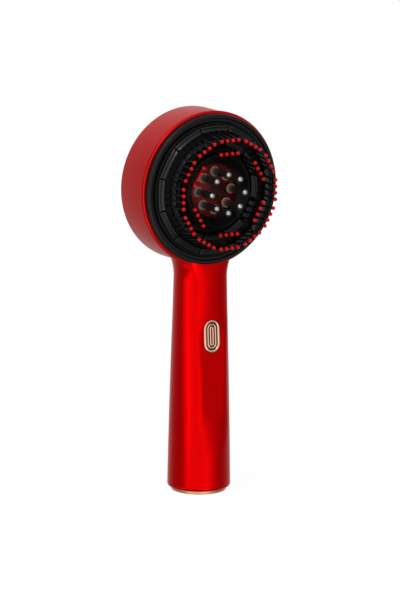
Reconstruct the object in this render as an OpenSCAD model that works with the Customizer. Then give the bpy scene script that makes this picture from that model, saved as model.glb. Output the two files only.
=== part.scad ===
// Handheld electric scalp massager with an oil applicator head.
// Millimetres. Origin: centre of the flat base, on the grip's axis. +Z runs up the grip,
// the bristles face -Y.

/* [Head drum] */
// Height of the head's centre above the base
head_z = 168.1; // [160:0.1:180]
// Outer radius of the drum at its back edge
drum_r = 41.9; // [39:0.1:45]
// How much wider the drum is at the band round its front rim
rim_flare = 0.6; // [0.3:0.1:1]
// Width of the band round the front rim
rim_band = 2.3; // [1.6:0.1:3]
// How far the drum's back lies behind the grip's axis
drum_back = 14.75; // [14.2:0.05:20]
// How far the front rim lies before the grip's axis
rim_front = 9.3; // [8.6:0.1:10.1]
// Wall of the drum
drum_wall = 2.1; // [1.8:0.1:2.4]
// Round on the front rim's edge
rim_round = 0.7; // [0.3:0.1:0.9]

/* [Grip] */
// Outer radius of the grip at its foot
grip_r_low = 17.3; // [16.2:0.1:19]
// How much narrower the grip is at its neck
grip_taper = 2.8; // [2:0.1:3.2]
// How far below the drum's rim the neck starts to flare
flare_drop = 6.6; // [5:0.1:8]
// Radius of the flare below the drum
flare_r = 30; // [26:1:40]
// Wall of the grip
grip_wall = 2.2; // [2:0.05:2.5]
// Height of the grip shell's lower edge
shell_z = 1.8; // [1.8:0.1:2.7]
// Round on the grip shell's lower edge
foot_round = 2.4; // [1:0.1:2.7]
// Height where the flat thumb facet starts
facet_z = 18; // [14:1:24]
// How far below the drum's rim the swell over the thumb dip lies
swell_drop = 17.6; // [15:0.1:20]
// How far below the swell the thumb dip lies
dip_drop = 16; // [13:0.5:19]
// Distance from the grip's axis to the facet at the dip
dip_depth = 11.95; // [11.5:0.05:13]
// How far the swell stands out over the dip
swell_rise = 0.65; // [0:0.05:1.2]
// Distance from the grip's axis to the neck's front at the black ring
brow_depth = 11.6; // [10.8:0.1:12.4]
// Radius of the wire passage through the neck
neck_bore = 7.4; // [6.8:0.1:8]

/* [Front ring] */
// How far the black ring's edge is set in from the rim
face_inset = 1.5; // [1.2:0.1:2]
// Width of the black ring's face
face_width = 3.8; // [3.4:0.1:4.2]
// How far the ring's outer edge stands before the rim
face_step = 2.85; // [2.1:0.05:3.3]
// How far the ring's inner edge stands before its outer edge
face_rise = 1.05; // [0.8:0.05:1.4]
// Round on the ring's outer edge
face_round = 0.8; // [0.3:0.1:1.4]

/* [Brush head] */
// How far the pad's flat land stands before the rim
pad_land = 3.3; // [2.9:0.1:3.8]
// Height of the lip round the pad's edge
pad_lip = 0.8; // [0.5:0.1:1.2]
// Height of the lip round the pad's hole
hole_lip = 3.1; // [2:0.1:3.4]
// Thickness of the silicone pad below its land
pad_thick = 3; // [2:0.1:3.6]
// Thickness of the carrier's plate
carrier_plate = 2; // [1.4:0.1:2.6]
// Groups of bristles in the outer ring
outer_groups = 12; // [9:1:12]
// Groups of bristles in the inner ring
inner_groups = 6; // [4:1:6]
// Bristles in each group
group_size = 4; // [2:1:4]
// Distance from the pad's edge in to the outer roots
outer_inset = 5.2; // [4.8:0.1:5.8]
// Distance from the pad's hole out to the inner roots
inner_inset = 3.7; // [3.3:0.1:4.2]
// How far the outer tips lean in from their roots
outer_lean = 2.5; // [1:0.1:3]
// How far the inner tips lean in from their roots
inner_lean = 2.3; // [1:0.1:2.5]
// How far the outer tips' centres stand before the rim
outer_tip_rise = 20.15; // [16.2:0.05:23.2]
// How far the inner tips' centres stand before the rim
inner_tip_rise = 19.5; // [16.2:0.1:23.2]
// Radius of a bristle's stem
stem_r = 0.65; // [0.5:0.05:0.8]
// Radius of a bristle's tip
tip_r = 1.2; // [0.9:0.05:1.3]
// Height of the bar that joins a group's roots
bar_h = 2; // [1.2:0.1:2.8]
// Gap between the outer bars at their middles
bar_gap = 2.16; // [1.9:0.02:3]
// Distance from a bar's end to its first bristle
bar_end = 2.275; // [1.8:0.025:2.6]
// Width of an outer bar
outer_bar_w = 4.2; // [3.4:0.1:4.5]
// Width of an inner bar
inner_bar_w = 4.4; // [3.4:0.1:4.7]
// Radius of a latch post
post_r = 2; // [1.5:0.1:2.3]
// Length of a latch post behind the carrier
post_len = 4.2; // [3.4:0.1:5]

/* [Oil cartridge] */
// Share of the drum's radius that the cartridge's collar takes
collar_share = 0.475; // [0.46:0.005:0.49]
// How far the collar's front edge stands before the rim
collar_rise = 8.95; // [8:0.05:10]
// How far the clear cover's face stands before the rim
cover_rise = 4; // [3.5:0.1:4.5]
// Thickness of the clear cover
cover_thick = 1; // [0.8:0.1:1.3]
// Width of the slope from the cup's wall to the well's floor
well_step = 2.5; // [2.2:0.1:2.8]
// Wall of the oil cup
cup_wall = 1.7; // [1.4:0.1:1.9]
// Floor of the oil cup
cup_floor = 1.5; // [1:0.1:1.6]
// Distance from a nozzle's root collar to the well's edge
nozzle_edge = 1.42; // [1:0.02:1.8]
// Wall of a nozzle round its ball
nozzle_wall = 0.35; // [0.33:0.01:0.5]
// Width of a nozzle's root collar
root_w = 0.65; // [0.4:0.05:0.8]
// Height of a nozzle's root collar
root_h = 1; // [0.6:0.1:1.4]
// How far the ball centres stand before the rim
ball_rise = 18.1; // [16.2:0.1:20.2]
// Radius of a roller ball
ball_r = 1.55; // [1.45:0.01:1.6]
// Travel of a roller ball into its nozzle
ball_travel = 0.4; // [0.2:0.05:0.5]
// Coils of a nozzle spring
spring_turns = 6; // [4:1:8]
// Wire radius of a nozzle spring
spring_wire_r = 0.15; // [0.1:0.01:0.17]

/* [Button] */
// How far the button's centre lies below the thumb dip
button_drop = 4.6; // [4:0.1:6]
// Width of the button over its ring
button_w = 10.1; // [9.6:0.1:10.8]
// Length of the button over its ring
button_l = 18.2; // [17:0.1:19.4]
// Width of the button's ring
button_ring = 1.5; // [1.35:0.05:1.6]
// Height of the ring's face over the facet
ring_proud = 0.5; // [0.4:0.05:0.8]
// Height of the cap's ridges over the facet
cap_proud = 0.2; // [0:0.05:0.4]
// Travel of the button
button_travel = 0.5; // [0.3:0.05:0.6]
// Width of the shoulder round the cap's ridges
shoulder_w = 0.65; // [0.5:0.05:0.75]
// Width of the ridges on the cap
ridge_w = 0.87; // [0.7:0.01:0.9]
// Width of the groove between the ridges
groove_w = 0.7; // [0.5:0.05:0.75]

/* [Battery and boards] */
// How far the cell sits behind the grip's axis
cell_y = 1.5; // [1.2:0.1:1.8]
// Height of the cell's lower end
cell_z = 19.5; // [19:0.5:21]
// Distance from the cell's upper end to the main board
cell_gap = 10.9; // [10:0.1:12]
// Wall of the cradle
cradle_wall = 2; // [1.7:0.1:2.3]
// Thickness of the circuit boards
board_thick = 1.2; // [0.8:0.1:1.4]
// Width of the main board
board_w = 15; // [13.5:0.5:16]
// Length of the main board below the button
board_down = 7; // [6.5:0.5:8]

/* [Motor] */
// Radius of the motor's can
motor_r = 5.8; // [5.2:0.1:6.2]
// Length of the motor's can
motor_len = 20; // [18:0.5:21.5]
// Radius of the motor's shaft
shaft_r = 1; // [0.75:0.05:1.2]
// Length of the eccentric weight
weight_len = 6.8; // [5:0.1:7.2]

/* [Base] */
// How far the metal foot ring is set in from the grip's foot
foot_inset = 2.3; // [2:0.1:2.7]
// Width of the foot ring's face
foot_w = 2.4; // [2.1:0.1:2.6]
// How far the plug's face is set in from the foot ring
plug_inset = 0.4; // [0.2:0.1:0.6]
// Width of the charging port's shell
port_w = 9; // [8.94:0.02:9.1]
// Thickness of the charging port's shell
port_t = 3.3; // [3.2:0.05:3.4]

/* [Clearances] */
// Gap round pieces that fit into one another
fit_gap = 0.1; // [0.06:0.01:0.14]
// Gap round pieces that slide or turn
run_gap = 0.06; // [0.04:0.01:0.09]
// Gap between the parts that are pulled off and what they sit in
seat_gap = 0.3; // [0.2:0.05:0.4]

/* [Hidden] */
$fn = 64;
eps = 0.01;
cut = 1; // how far a cut runs past the face it opens

RED = [0.72, 0.02, 0.03];
BLACK = [0.06, 0.06, 0.065];
GRAPHITE = [0.16, 0.16, 0.17];
ROSE = [0.84, 0.58, 0.44];
STEEL = [0.78, 0.79, 0.8];
CLEAR = [0.75, 0.62, 0.6, 0.5];
BOARD = [0.05, 0.3, 0.14];
COPPER = [0.75, 0.45, 0.25];
WHITE = [0.9, 0.9, 0.88];

// Drum, and the places on the grip that hang from it
rim_r = drum_r + rim_flare;
bore_r = drum_r - drum_wall;
back_round = 0.6;
rim_z = head_z - rim_r;
swell_z = rim_z - swell_drop;
dip_z = swell_z - dip_drop;
button_z = dip_z - button_drop;
flare_z = rim_z - flare_drop;
flare_over = 3.8;
flare_top = head_z - bore_r + flare_over;
neck_drop = 6;
neck_z = flare_z - neck_drop;
neck_y = 1.5;
swell_depth = dip_depth + swell_rise;

// Grip: a straight cone up to the flare.
grip_r_top = grip_r_low - grip_taper;
function grip_r(z) = grip_r_low - grip_taper * (z - shell_z) / (flare_z - shell_z);
facet_slope = (grip_r(facet_z) - dip_depth) / (dip_z - facet_z);
facet_tilt = atan(facet_slope);
function ease(a, b, t) = a + (b - a) * (1 - cos(180 * t)) / 2;
function front_depth(z) =
    z < dip_z ? dip_depth + (dip_z - z) * facet_slope :
    z < swell_z ? ease(dip_depth, swell_depth, (z - dip_z) / (swell_z - dip_z)) :
    z < rim_z ? ease(swell_depth, brow_depth, (z - swell_z) / (rim_z - swell_z)) : brow_depth;
button_depth = front_depth(button_z);

// Head: heights are measured towards the front, from the grip's axis.
chassis_top = 3;
chassis_thick = 2;
chassis_low = chassis_top - chassis_thick;
ledge_w = 2;
ledge_h = 1.4;
cover_plate = 1.6;
cover_bow = 0.3;
gasket_t = 0.8;
ledge_top = gasket_t + cover_plate - drum_back + ledge_h;
boss_inset = 3.4;
boss_ring_r = bore_r - boss_inset;
boss_r = 3.6;
screw_r = 1.45;
screw_head_r = 2.8;
screw_head_h = 1.5;
screw_len = 9;
slot_w = 0.6;
face_r = rim_r - face_inset;
face_in_r = face_r - face_width;
lip_w = 1;
pad_r = face_in_r - seat_gap;
land_h = rim_front + pad_land;
lip_h = land_h + pad_lip;
pad_low = land_h - pad_thick;
carrier_low = chassis_top + seat_gap;
plate_low = pad_low - carrier_plate;
carrier_r = pad_r - seat_gap;
skirt_w = 2;

// Bristles
hole_gap = 0.6;
outer_bar_shift = 0.7;
inner_bar_shift = 0.2;
collar_r = drum_r * collar_share;
pad_hole_r = collar_r + hole_gap;
outer_root_r = pad_r - outer_inset;
inner_root_r = pad_hole_r + inner_inset;
outer_bar_r = outer_root_r + outer_bar_shift;
inner_bar_r = inner_root_r + inner_bar_shift;
bar_len = 2 * outer_bar_r * tan(180 / outer_groups) - bar_gap;
bristle_pitch = (bar_len - 2 * bar_end) / (group_size - 1);
tip_cut = 0.15;
post_count = 3;
post_ring_r = (outer_root_r + inner_root_r) / 2;

// Oil cartridge
collar_wall = 1.3;
collar_lip = 0.8;
cup_r = collar_r - collar_wall;
well_r = cup_r - cup_wall - well_step;
well_foot = 0.5;
well_gap = 0.2;
collar_top = rim_front + collar_rise;
cover_top = rim_front + cover_rise;
cover_low = cover_top - cover_thick;
cup_low = chassis_top + seat_gap;
cup_gasket_t = 0.8;
cup_top = cover_low - cup_gasket_t;
socket_r = cup_r + 2 * fit_gap;
socket_wall = 1.3;
socket_top = 8;
collar_low = socket_top + seat_gap + fit_gap;
oring_r = 0.5;
oring_h = cup_low + 2.2;
oring_groove = 0.9;
nozzle_count = 8;
nozzle_r = ball_r + nozzle_wall;
root_r = nozzle_r + root_w;
nozzle_ring_r = well_r - root_r - nozzle_edge;
ball_h = rim_front + ball_rise;
ball_gap = 0.07;
lip_rise = 0.5;
spring_bore = ball_r - 0.2;
spring_r = spring_bore - 0.3;
spring_gap = 0.03;
shelf_bore = spring_bore - 0.45;
shelf_rise = 4.7;
shelf_h = cover_top + shelf_rise;
socket_h = ball_h - ball_r - ball_travel - 0.45;
ball_back = sqrt(ball_r * ball_r - spring_r * spring_r);
spring_top = ball_h - ball_back - spring_wire_r - spring_gap;
spring_low = shelf_h + spring_wire_r + spring_gap;
spring_points = 8;

// Lights and motor
window_inset = 6.2;
window_r = cup_r - window_inset;
window_rim = 0.8;
led_board_r = window_r + window_rim;
led_ring_r = window_r - 4.4;
led_size = 2.8;
led_h = 0.9;
bracket_w = 14;
bracket_t = 1.2;
bracket_gap = 0.05;
bracket_hand = 0.6;
bracket_foot = motor_r + 5.1;
bracket_screw_y = motor_r + 3.1;
bracket_screw_r = 1.1;
bracket_head_r = 1.6;
bracket_head_h = 1.2;
bracket_grip = 1.5;
motor_y = motor_r + bracket_gap + bracket_hand + 0.05 - chassis_low;
motor_drop = led_board_r + 2.4 + bracket_screw_y;
motor_z = head_z - motor_drop;
motor_end = motor_len / 2;
motor_nose_r = 2.4;
motor_nose_h = 0.8;
terminal_y = 2.6;
terminal_w = 2;
terminal_t = 0.6;
terminal_len = 1.6;
shaft_start = 3;
weight_r = motor_r - 0.8;
weight_hub = 1.3;
weight_start = motor_end + 1.6;
shaft_end = weight_start + weight_len + 0.8;

// Button: depths are measured outwards from the facet.
recess = 1.1;
button_gasket_t = 0.3;
ring_chamfer = 0.3;
sleeve_inset = 0.9;
sleeve_w = button_w - 2 * sleeve_inset;
sleeve_l = button_l - 2 * sleeve_inset;
cap_w = button_w - 2 * button_ring - 2 * fit_gap;
cap_l = button_l - 2 * button_ring - 2 * fit_gap;
ridge_h = 0.4;
flange_w = 0.8;
flange_top = -(grip_wall + 0.2);
sleeve_low = flange_top + run_gap;
flange_t = 0.8;
flange_low = flange_top - flange_t;
plunger_top = flange_low - 0.05;
plunger_r = 1.6;
plunger_rise = 0.95;
plunger_foot = 0.5;
switch_top = plunger_top - plunger_rise;
switch_size = 6;
switch_h = 2.6;
board_top = switch_top - switch_h;
board_low = board_top - board_thick;
board_gap = 1.6;
board_up = neck_z - button_z - board_gap;
function board_back(z) = (z - button_z) * facet_slope - button_depth - board_low;

// Base
foot_r = grip_r_low - foot_inset;
foot_edge = 0.25;
foot_bore_r = foot_r - 1.2;
plug_r = foot_r - foot_w - fit_gap;
ring_flange = 0.9;
ring_step_z = 3;
ring_top_z = 5;
base_screw_x = plug_r - 3.9;
base_screw_y = -4.2;
base_screw_r = 1.1;
base_head_r = 2;
base_head_h = 1;
base_head_top = plug_inset + base_head_h + 2 * fit_gap;
base_screw_grip = 3;
base_boss_r = 1.9;
port_z = 1.2;
port_len = 7.4;
port_skin = 0.35;
port_rim = 0.5;

// Battery
tab_t = 0.3;
tab_size = 8;
end_plate = 1.2;
cell_gap_r = 0.25;
cradle_gap = 0.6;
cell_len = button_z - board_down - cell_gap - cell_z;
cradle_top = cell_z + cell_len + tab_t + end_plate;
cradle_r = grip_r(cradle_top) - grip_wall - cradle_gap - cell_y;
cradle_bore = cradle_r - cradle_wall;
cell_d = 2 * (cradle_bore - cell_gap_r);
cradle_open = 3;
cradle_floor = 4;
charge_board_y = port_t / 2 + 0.05;
charge_board_w = 14;
charge_board_h = 11.5;
charge_board_z = ring_top_z + 0.5;
rail_w = 1.5;
rail_inset = 1;
rail_back = 9;
lead_r = 0.6;
lead_x = 0.861 * cradle_r;
lead_y = -0.592 * cradle_r;
lead_pitch = 2.2;
led_back = board_thick - chassis_low + lead_r + fit_gap;
led_lead_x = -motor_end - 3.6;
terminal_x = -motor_end - terminal_w / 2;
reach = 2 * drum_r; // longer than any cut needs to be

// Places children in the head's frame: +Z towards the bristles, +Y up.
module in_head() {
    translate([0, 0, head_z]) rotate([90, 0, 0]) children();
}

// Places children on the thumb facet at the button: +Z out of the facet, +Y up it.
module on_facet() {
    translate([0, -button_depth, button_z]) rotate([90 - facet_tilt, 0, 0]) children();
}

module lathe(profile) {
    rotate_extrude() polygon(profile);
}

module ring(r_in, r_out, low, top) {
    lathe([[r_in, low], [r_out, low], [r_out, top], [r_in, top]]);
}

module disc(r, low, top) {
    translate([0, 0, low]) cylinder(r = r, h = top - low);
}

module stadium(w, l) {
    square([w, l - w], center = true);
    for (s = [-1, 1]) translate([0, s * (l - w) / 2]) circle(d = w);
}

module slab(low, top) {
    translate([0, 0, low]) linear_extrude(top - low) children();
}

// A point list along an arc of a profile.
function arc(c, r, a, b, n = 6) = [for (i = [0 : n])
    let (t = a + (b - a) * i / n) c + r * [cos(t), sin(t)]];

// A round tube swept along a list of points, as one closed skin.
function unit(v) = v / norm(v);
function heading(p, i) = unit(p[min(i + 1, len(p) - 1)] - p[max(i - 1, 0)]);
module sweep(points, r, sides = 8) {
    n = len(points);
    side = [for (i = [0 : n - 1]) unit(cross(heading(points, i), [0.31, 1.17, 0.05]))];
    rings = [for (i = [0 : n - 1]) for (k = [0 : sides - 1])
        points[i] + r * (side[i] * cos(360 * k / sides)
            + cross(heading(points, i), side[i]) * sin(360 * k / sides))];
    walls = [for (i = [0 : n - 2]) for (k = [0 : sides - 1])
        let (a = i * sides + k, b = i * sides + (k + 1) % sides)
            each [[a, a + sides, b + sides], [a, b + sides, b]]];
    ends = [[for (k = [0 : sides - 1]) k], [for (k = [sides - 1 : -1 : 0]) (n - 1) * sides + k]];
    polyhedron(rings, concat(walls, ends), convexity = 6);
}

// ---- Housing ----

// Everything before the facet, thumb dip and brow, moved back by inset.
module front_cut(inset = 0) {
    steps = 10;
    top = flare_top + cut;
    curve = concat(
        [[-front_depth(0), 0]],
        [for (i = [0 : steps]) let (z = dip_z + (swell_z - dip_z) * i / steps) [-front_depth(z), z]],
        [for (i = [1 : steps]) let (z = swell_z + (rim_z - swell_z) * i / steps) [-front_depth(z), z]],
        [[-brow_depth, top]]);
    back = [for (i = [len(curve) - 1 : -1 : 0]) curve[i]];
    translate([-reach / 2, inset, 0]) rotate([90, 0, 90]) linear_extrude(reach)
        polygon(concat([[-reach, 0], [-reach, top]], back));
}

module grip_solid() {
    steps = 8;
    flare = [for (i = [1 : steps]) let (z = flare_z + (flare_top - flare_z) * i / steps)
        [grip_r_top + flare_r - sqrt(flare_r * flare_r - pow(z - flare_z, 2)), z]];
    difference() {
        lathe(concat([[0, shell_z]],
            arc([grip_r_low - foot_round, shell_z + foot_round], foot_round, -90, 0, 6),
            [[grip_r_top, flare_z]], flare, [[0, flare_top]]));
        front_cut();
        translate([-flare_r, drum_back, flare_z]) cube(2 * flare_r);
        in_head() disc(face_r + fit_gap, rim_front, swell_depth + cut);
    }
}

module grip_cavity() {
    floor_z = shell_z + 2;
    top_r = grip_r(neck_z) - grip_wall;
    difference() {
        lathe([[0, floor_z], [grip_r(floor_z) - grip_wall, floor_z], [top_r, neck_z], [0, neck_z]]);
        front_cut(grip_wall);
    }
    translate([0, neck_y, 0]) disc(neck_bore, neck_z - cut, flare_top);
    disc(foot_bore_r, shell_z - cut, floor_z + cut);
}

module drum_solid() {
    lathe(concat([[0, -drum_back]],
        arc([drum_r - back_round, back_round - drum_back], back_round, -90, 0, 4),
        [[drum_r, rim_front - rim_band - rim_flare]],
        [[rim_r, rim_front - rim_band]],
        arc([rim_r - rim_round, rim_front - rim_round], rim_round, 0, 90, 5), [[0, rim_front]]));
}

module boss_places() {
    for (a = [45 : 90 : 315]) rotate(a) translate([boss_ring_r, 0, 0]) children();
}

module main_housing() color(RED) {
    difference() {
        union() {
            grip_solid();
            in_head() drum_solid();
        }
        in_head() disc(bore_r, -drum_back - cut, rim_front + cut);
        grip_cavity();
        on_facet() slab(-recess, ring_proud + cut)
            stadium(button_w + 2 * fit_gap, button_l + 2 * fit_gap);
        on_facet() slab(-2 * grip_wall, cut)
            stadium(sleeve_w + 2 * fit_gap, sleeve_l + 2 * fit_gap);
    }
    in_head() difference() {
        union() {
            ring(bore_r - ledge_w, bore_r + eps, ledge_top - ledge_h, ledge_top);
            intersection() {
                boss_places() disc(boss_r, ledge_top - eps, chassis_low);
                disc(bore_r + drum_wall / 4, -drum_back, rim_front);
            }
        }
        boss_places() disc(screw_r + fit_gap / 2, chassis_low - screw_len, chassis_low + cut);
    }
}

module rear_cover() color(RED) in_head() {
    r = bore_r - 2 * fit_gap;
    low = -drum_back;
    lip_out = bore_r - ledge_w - seat_gap;
    lathe(concat([[0, low + cover_bow], [r * 0.6, low + cover_bow * 0.4]],
        arc([r - back_round, low + back_round], back_round, -90, 0, 4),
        [[r, low + cover_plate], [0, low + cover_plate]]));
    ring(lip_out - ledge_w + seat_gap, lip_out, low + cover_plate - eps, ledge_top - 2 * fit_gap);
}

module rear_cover_gasket() color(GRAPHITE) in_head()
    ring(bore_r - ledge_w, bore_r - fit_gap, cover_plate - drum_back, cover_plate + gasket_t - drum_back);

module front_bezel() color(BLACK) in_head() {
    out_r = bore_r - fit_gap;
    edge = rim_front + face_step;
    rise = edge + face_rise;
    groove_r = face_r - face_round - 1.6;
    chamfer = 0.4;
    lathe(concat([[face_in_r, chassis_top], [out_r, chassis_top], [out_r, rim_front], [face_r, rim_front]],
        arc([face_r - face_round, edge - face_round], face_round, 0, 75, 5),
        [[groove_r + face_rise / 7, edge + face_rise / 2], [groove_r, edge + face_rise / 4]],
        [[groove_r - face_rise / 5, edge + face_rise * 0.56]],
        [[face_in_r + chamfer, rise], [face_in_r, rise - chamfer]]));
}

// ---- Inside the head ----

module head_chassis() color(GRAPHITE) in_head() difference() {
    union() {
        ring(led_board_r - ledge_w, bore_r - 2 * fit_gap, chassis_low, chassis_top);
        ring(socket_r, socket_r + socket_wall, chassis_top - eps, socket_top);
    }
    disc(window_r + fit_gap, chassis_low + chassis_thick / 2, chassis_top + cut);
    latch_places() disc(post_r + run_gap, chassis_low - cut, chassis_top + cut);
    boss_places() {
        disc(screw_r + 2 * fit_gap, chassis_low - cut, chassis_top + cut);
        translate([0, 0, chassis_top - screw_head_h - fit_gap])
            cylinder(r1 = screw_r + fit_gap, r2 = screw_head_r + 2 * fit_gap,
                h = screw_head_h + fit_gap + eps);
    }
    bracket_places()
        disc(bracket_screw_r + fit_gap / 2, chassis_low - cut, chassis_low + bracket_grip + fit_gap);
}

module chassis_screws() color(STEEL) in_head() boss_places() {
    disc(screw_r, chassis_low - screw_len + fit_gap, chassis_top - screw_head_h);
    difference() {
        translate([0, 0, chassis_top - screw_head_h - fit_gap / 2])
            cylinder(r1 = screw_r, r2 = screw_head_r, h = screw_head_h);
        cross_slot(1.15 * screw_head_r, slot_w, chassis_top - 0.6 * screw_head_h, chassis_top + cut);
    }
}

module cross_slot(length, width, low, top) {
    for (a = [0, 90]) rotate(a) translate([-length / 2, -width / 2, low]) cube([length, width, top - low]);
}

module latch_places() {
    for (k = [0 : post_count - 1]) rotate(90 + 360 * k / post_count) translate([post_ring_r, 0, 0])
        children();
}

module light_window() color([0.7, 0.05, 0.05, 0.6]) in_head()
    disc(window_r, chassis_low + chassis_thick / 2, chassis_top);

module led_board() color(WHITE) in_head() disc(led_board_r, chassis_low - board_thick, chassis_low);

module leds() color([1, 0.5, 0.4]) in_head()
    for (a = [0 : 45 : 315]) rotate(a) translate([led_ring_r - led_size / 2, -led_size / 2, chassis_low])
        cube([led_size, led_size, led_h]);

// Places children at the motor's axis: +Z along the shaft, which is the row's +X.
module at_motor() {
    translate([0, motor_y, motor_z]) rotate([0, 90, 0]) children();
}

module motor_can() color(STEEL) at_motor() difference() {
    union() {
        disc(motor_r, -motor_end, motor_end);
        disc(motor_nose_r, motor_end - eps, motor_end + motor_nose_h);
        for (s = [-1, 1])
            translate([-terminal_w / 2, s * terminal_y - terminal_t / 2, -motor_end - terminal_len])
                cube([terminal_w, terminal_t, terminal_len + fit_gap]);
    }
    disc(shaft_r + run_gap, shaft_start - cut, motor_end + motor_nose_h + cut);
}

module motor_shaft() color(STEEL) at_motor() disc(shaft_r, shaft_start, shaft_end);

module eccentric_weight() color([0.55, 0.5, 0.4]) at_motor() difference() {
    union() {
        disc(shaft_r + weight_hub, weight_start, weight_start + weight_len);
        intersection() {
            disc(weight_r, weight_start, weight_start + weight_len);
            translate([0, -weight_r, weight_start]) cube([weight_r, 2 * weight_r, weight_len]);
        }
    }
    disc(shaft_r, weight_start - cut, weight_start + weight_len + cut);
}

module bracket_places() {
    for (s = [-1, 1]) translate([0, s * bracket_screw_y - motor_drop, 0]) children();
}

module motor_bracket() color(STEEL) difference() {
    hold_r = motor_r + bracket_gap;
    foot_y = -motor_y - chassis_low;
    at_motor() translate([0, 0, -bracket_w / 2]) linear_extrude(bracket_w) difference() {
        union() {
            circle(r = hold_r + bracket_t);
            translate([-hold_r - bracket_t, foot_y]) square([2 * (hold_r + bracket_t), -foot_y]);
            translate([-bracket_foot, foot_y]) square([2 * bracket_foot, bracket_t]);
        }
        circle(r = hold_r);
        translate([-hold_r, foot_y - cut]) square([2 * hold_r, cut - foot_y]);
    }
    in_head() bracket_places()
        disc(bracket_screw_r + fit_gap, chassis_low - bracket_t - cut, chassis_low + cut);
}

module bracket_screws() color(STEEL) in_head() bracket_places() {
    disc(bracket_head_r, chassis_low - bracket_t - bracket_head_h, chassis_low - bracket_t);
    disc(bracket_screw_r, chassis_low - bracket_t - eps, chassis_low + bracket_grip);
}

// ---- Brush head ----

module brush_carrier() color(BLACK) in_head() {
    ring(pad_hole_r, carrier_r, plate_low, pad_low);
    ring(carrier_r - skirt_w, carrier_r, carrier_low, plate_low + eps);
    ring(pad_hole_r, pad_hole_r + skirt_w, carrier_low, plate_low + eps);
    latch_places() disc(post_r, carrier_low - post_len, plate_low + eps);
}

module brush_pad() color(BLACK) in_head() {
    round_r = lip_w / 2;
    lathe(concat([[pad_hole_r, pad_low], [pad_r, pad_low]],
        arc([pad_r - round_r, lip_h - round_r], round_r, 0, 180, 8),
        [[pad_r - lip_w, land_h], [pad_hole_r + lip_w, land_h]],
        arc([pad_hole_r + round_r, land_h + hole_lip - round_r], round_r, 0, 180, 8)));
}

// One bar with its stems: roots at root_r, tips at lean further in, along the local +X radius.
function stem_shift(k) = (k - (group_size - 1) / 2) * bristle_pitch;
module on_stem(k, root_at, lean, rise) {
    translate([root_at, stem_shift(k), land_h]) rotate([0, -atan(lean / rise), 0]) children();
}

module bristle_bar(root_at, lean, tip_h, bar_at, bar_w) {
    rise = tip_h - land_h;
    slab(land_h, land_h + bar_h) translate([bar_at, 0]) stadium(bar_w, bar_len);
    for (k = [0 : group_size - 1]) on_stem(k, root_at, lean, rise)
        disc(stem_r, bar_h / 2, norm([lean, rise]) - tip_r + tip_cut);
}

module bristle_tip(root_at, lean, tip_h) {
    rise = tip_h - land_h;
    for (k = [0 : group_size - 1]) on_stem(k, root_at, lean, rise)
        translate([0, 0, norm([lean, rise])]) intersection() {
            sphere(r = tip_r);
            disc(2 * tip_r, tip_cut - tip_r, 2 * tip_r);
        }
}

module around(count) {
    for (g = [0 : count - 1]) rotate(90 + 360 * g / count) children();
}

module outer_bristles() color(BLACK) in_head() around(outer_groups)
    bristle_bar(outer_root_r, outer_lean, rim_front + outer_tip_rise, outer_bar_r, outer_bar_w);

module outer_bristle_tips() color(RED) in_head() around(outer_groups)
    bristle_tip(outer_root_r, outer_lean, rim_front + outer_tip_rise);

module inner_bristles() color(BLACK) in_head() around(inner_groups)
    bristle_bar(inner_root_r, inner_lean, rim_front + inner_tip_rise, inner_bar_r, inner_bar_w);

module inner_bristle_tips() color(RED) in_head() around(inner_groups)
    bristle_tip(inner_root_r, inner_lean, rim_front + inner_tip_rise);

// ---- Oil cartridge ----

module nozzle_places() {
    for (k = [0 : nozzle_count - 1]) rotate(360 * k / nozzle_count) translate([nozzle_ring_r, 0, 0])
        children();
}

module cartridge_collar() color(BLACK) in_head() {
    skirt_r = cup_r + fit_gap;
    foot = [well_r + well_gap, cover_top + well_foot];
    brow = [collar_r - collar_lip, collar_top - well_gap];
    steps = 5;
    well = [for (i = [steps : -1 : 0]) let (t = i / steps)
        [foot[0] + (brow[0] - foot[0]) * t,
            foot[1] + (brow[1] - foot[1]) * (0.6 * (1 - cos(90 * t)) + 0.4 * t)]];
    lathe(concat([[skirt_r, collar_low], [collar_r, collar_low]],
        arc([collar_r - collar_lip / 2, collar_top - collar_lip / 2], collar_lip / 2, 0, 180, 6),
        well, [[foot[0], cover_top], [skirt_r, cover_top]]));
}

module cartridge_cover() color(CLEAR) in_head() difference() {
    disc(cup_r, cover_low, cover_top);
    nozzle_places() disc(shelf_bore, cover_low - cut, cover_top + cut);
}

module nozzle_tubes() color(CLEAR) in_head() nozzle_places() {
    bore = ball_r + ball_gap;
    mouth = bore * cos(asin(lip_rise / ball_r)) - ball_gap / 2;
    lathe([[shelf_bore, cover_top], [root_r, cover_top], [root_r, cover_top + root_h],
        [nozzle_r, cover_top + root_h + root_h / 5], [nozzle_r, ball_h + lip_rise],
        [mouth, ball_h + lip_rise], [bore, ball_h], [bore, socket_h], [spring_bore, socket_h],
        [spring_bore, shelf_h], [shelf_bore, shelf_h]]);
}

module nozzle_springs() color(STEEL) in_head() nozzle_places() {
    steps = spring_turns * spring_points;
    turn = 360 / spring_points;
    sweep([for (i = [0 : steps]) [spring_r * cos(turn * i), spring_r * sin(turn * i),
        spring_low + (spring_top - spring_low) * i / steps]], spring_wire_r, 4);
}

module roller_ball(k) color(STEEL) in_head()
    rotate(360 * (k - 1) / nozzle_count) translate([nozzle_ring_r, 0, ball_h]) sphere(r = ball_r);

module oil_cup() color([0.6, 0.02, 0.03]) in_head() difference() {
    disc(cup_r, cup_low, cup_top);
    disc(cup_r - cup_wall, cup_low + cup_floor, cup_top + cut);
    ring(cup_r - oring_groove, cup_r + cut, oring_h - oring_r - fit_gap, oring_h + oring_r + fit_gap);
}

module cup_gasket() color(GRAPHITE) in_head() ring(cup_r - cup_wall, cup_r, cup_top, cover_low);

module cartridge_oring() color(GRAPHITE) in_head() rotate_extrude()
    translate([socket_r - oring_r - run_gap, oring_h]) circle(r = oring_r);

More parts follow.
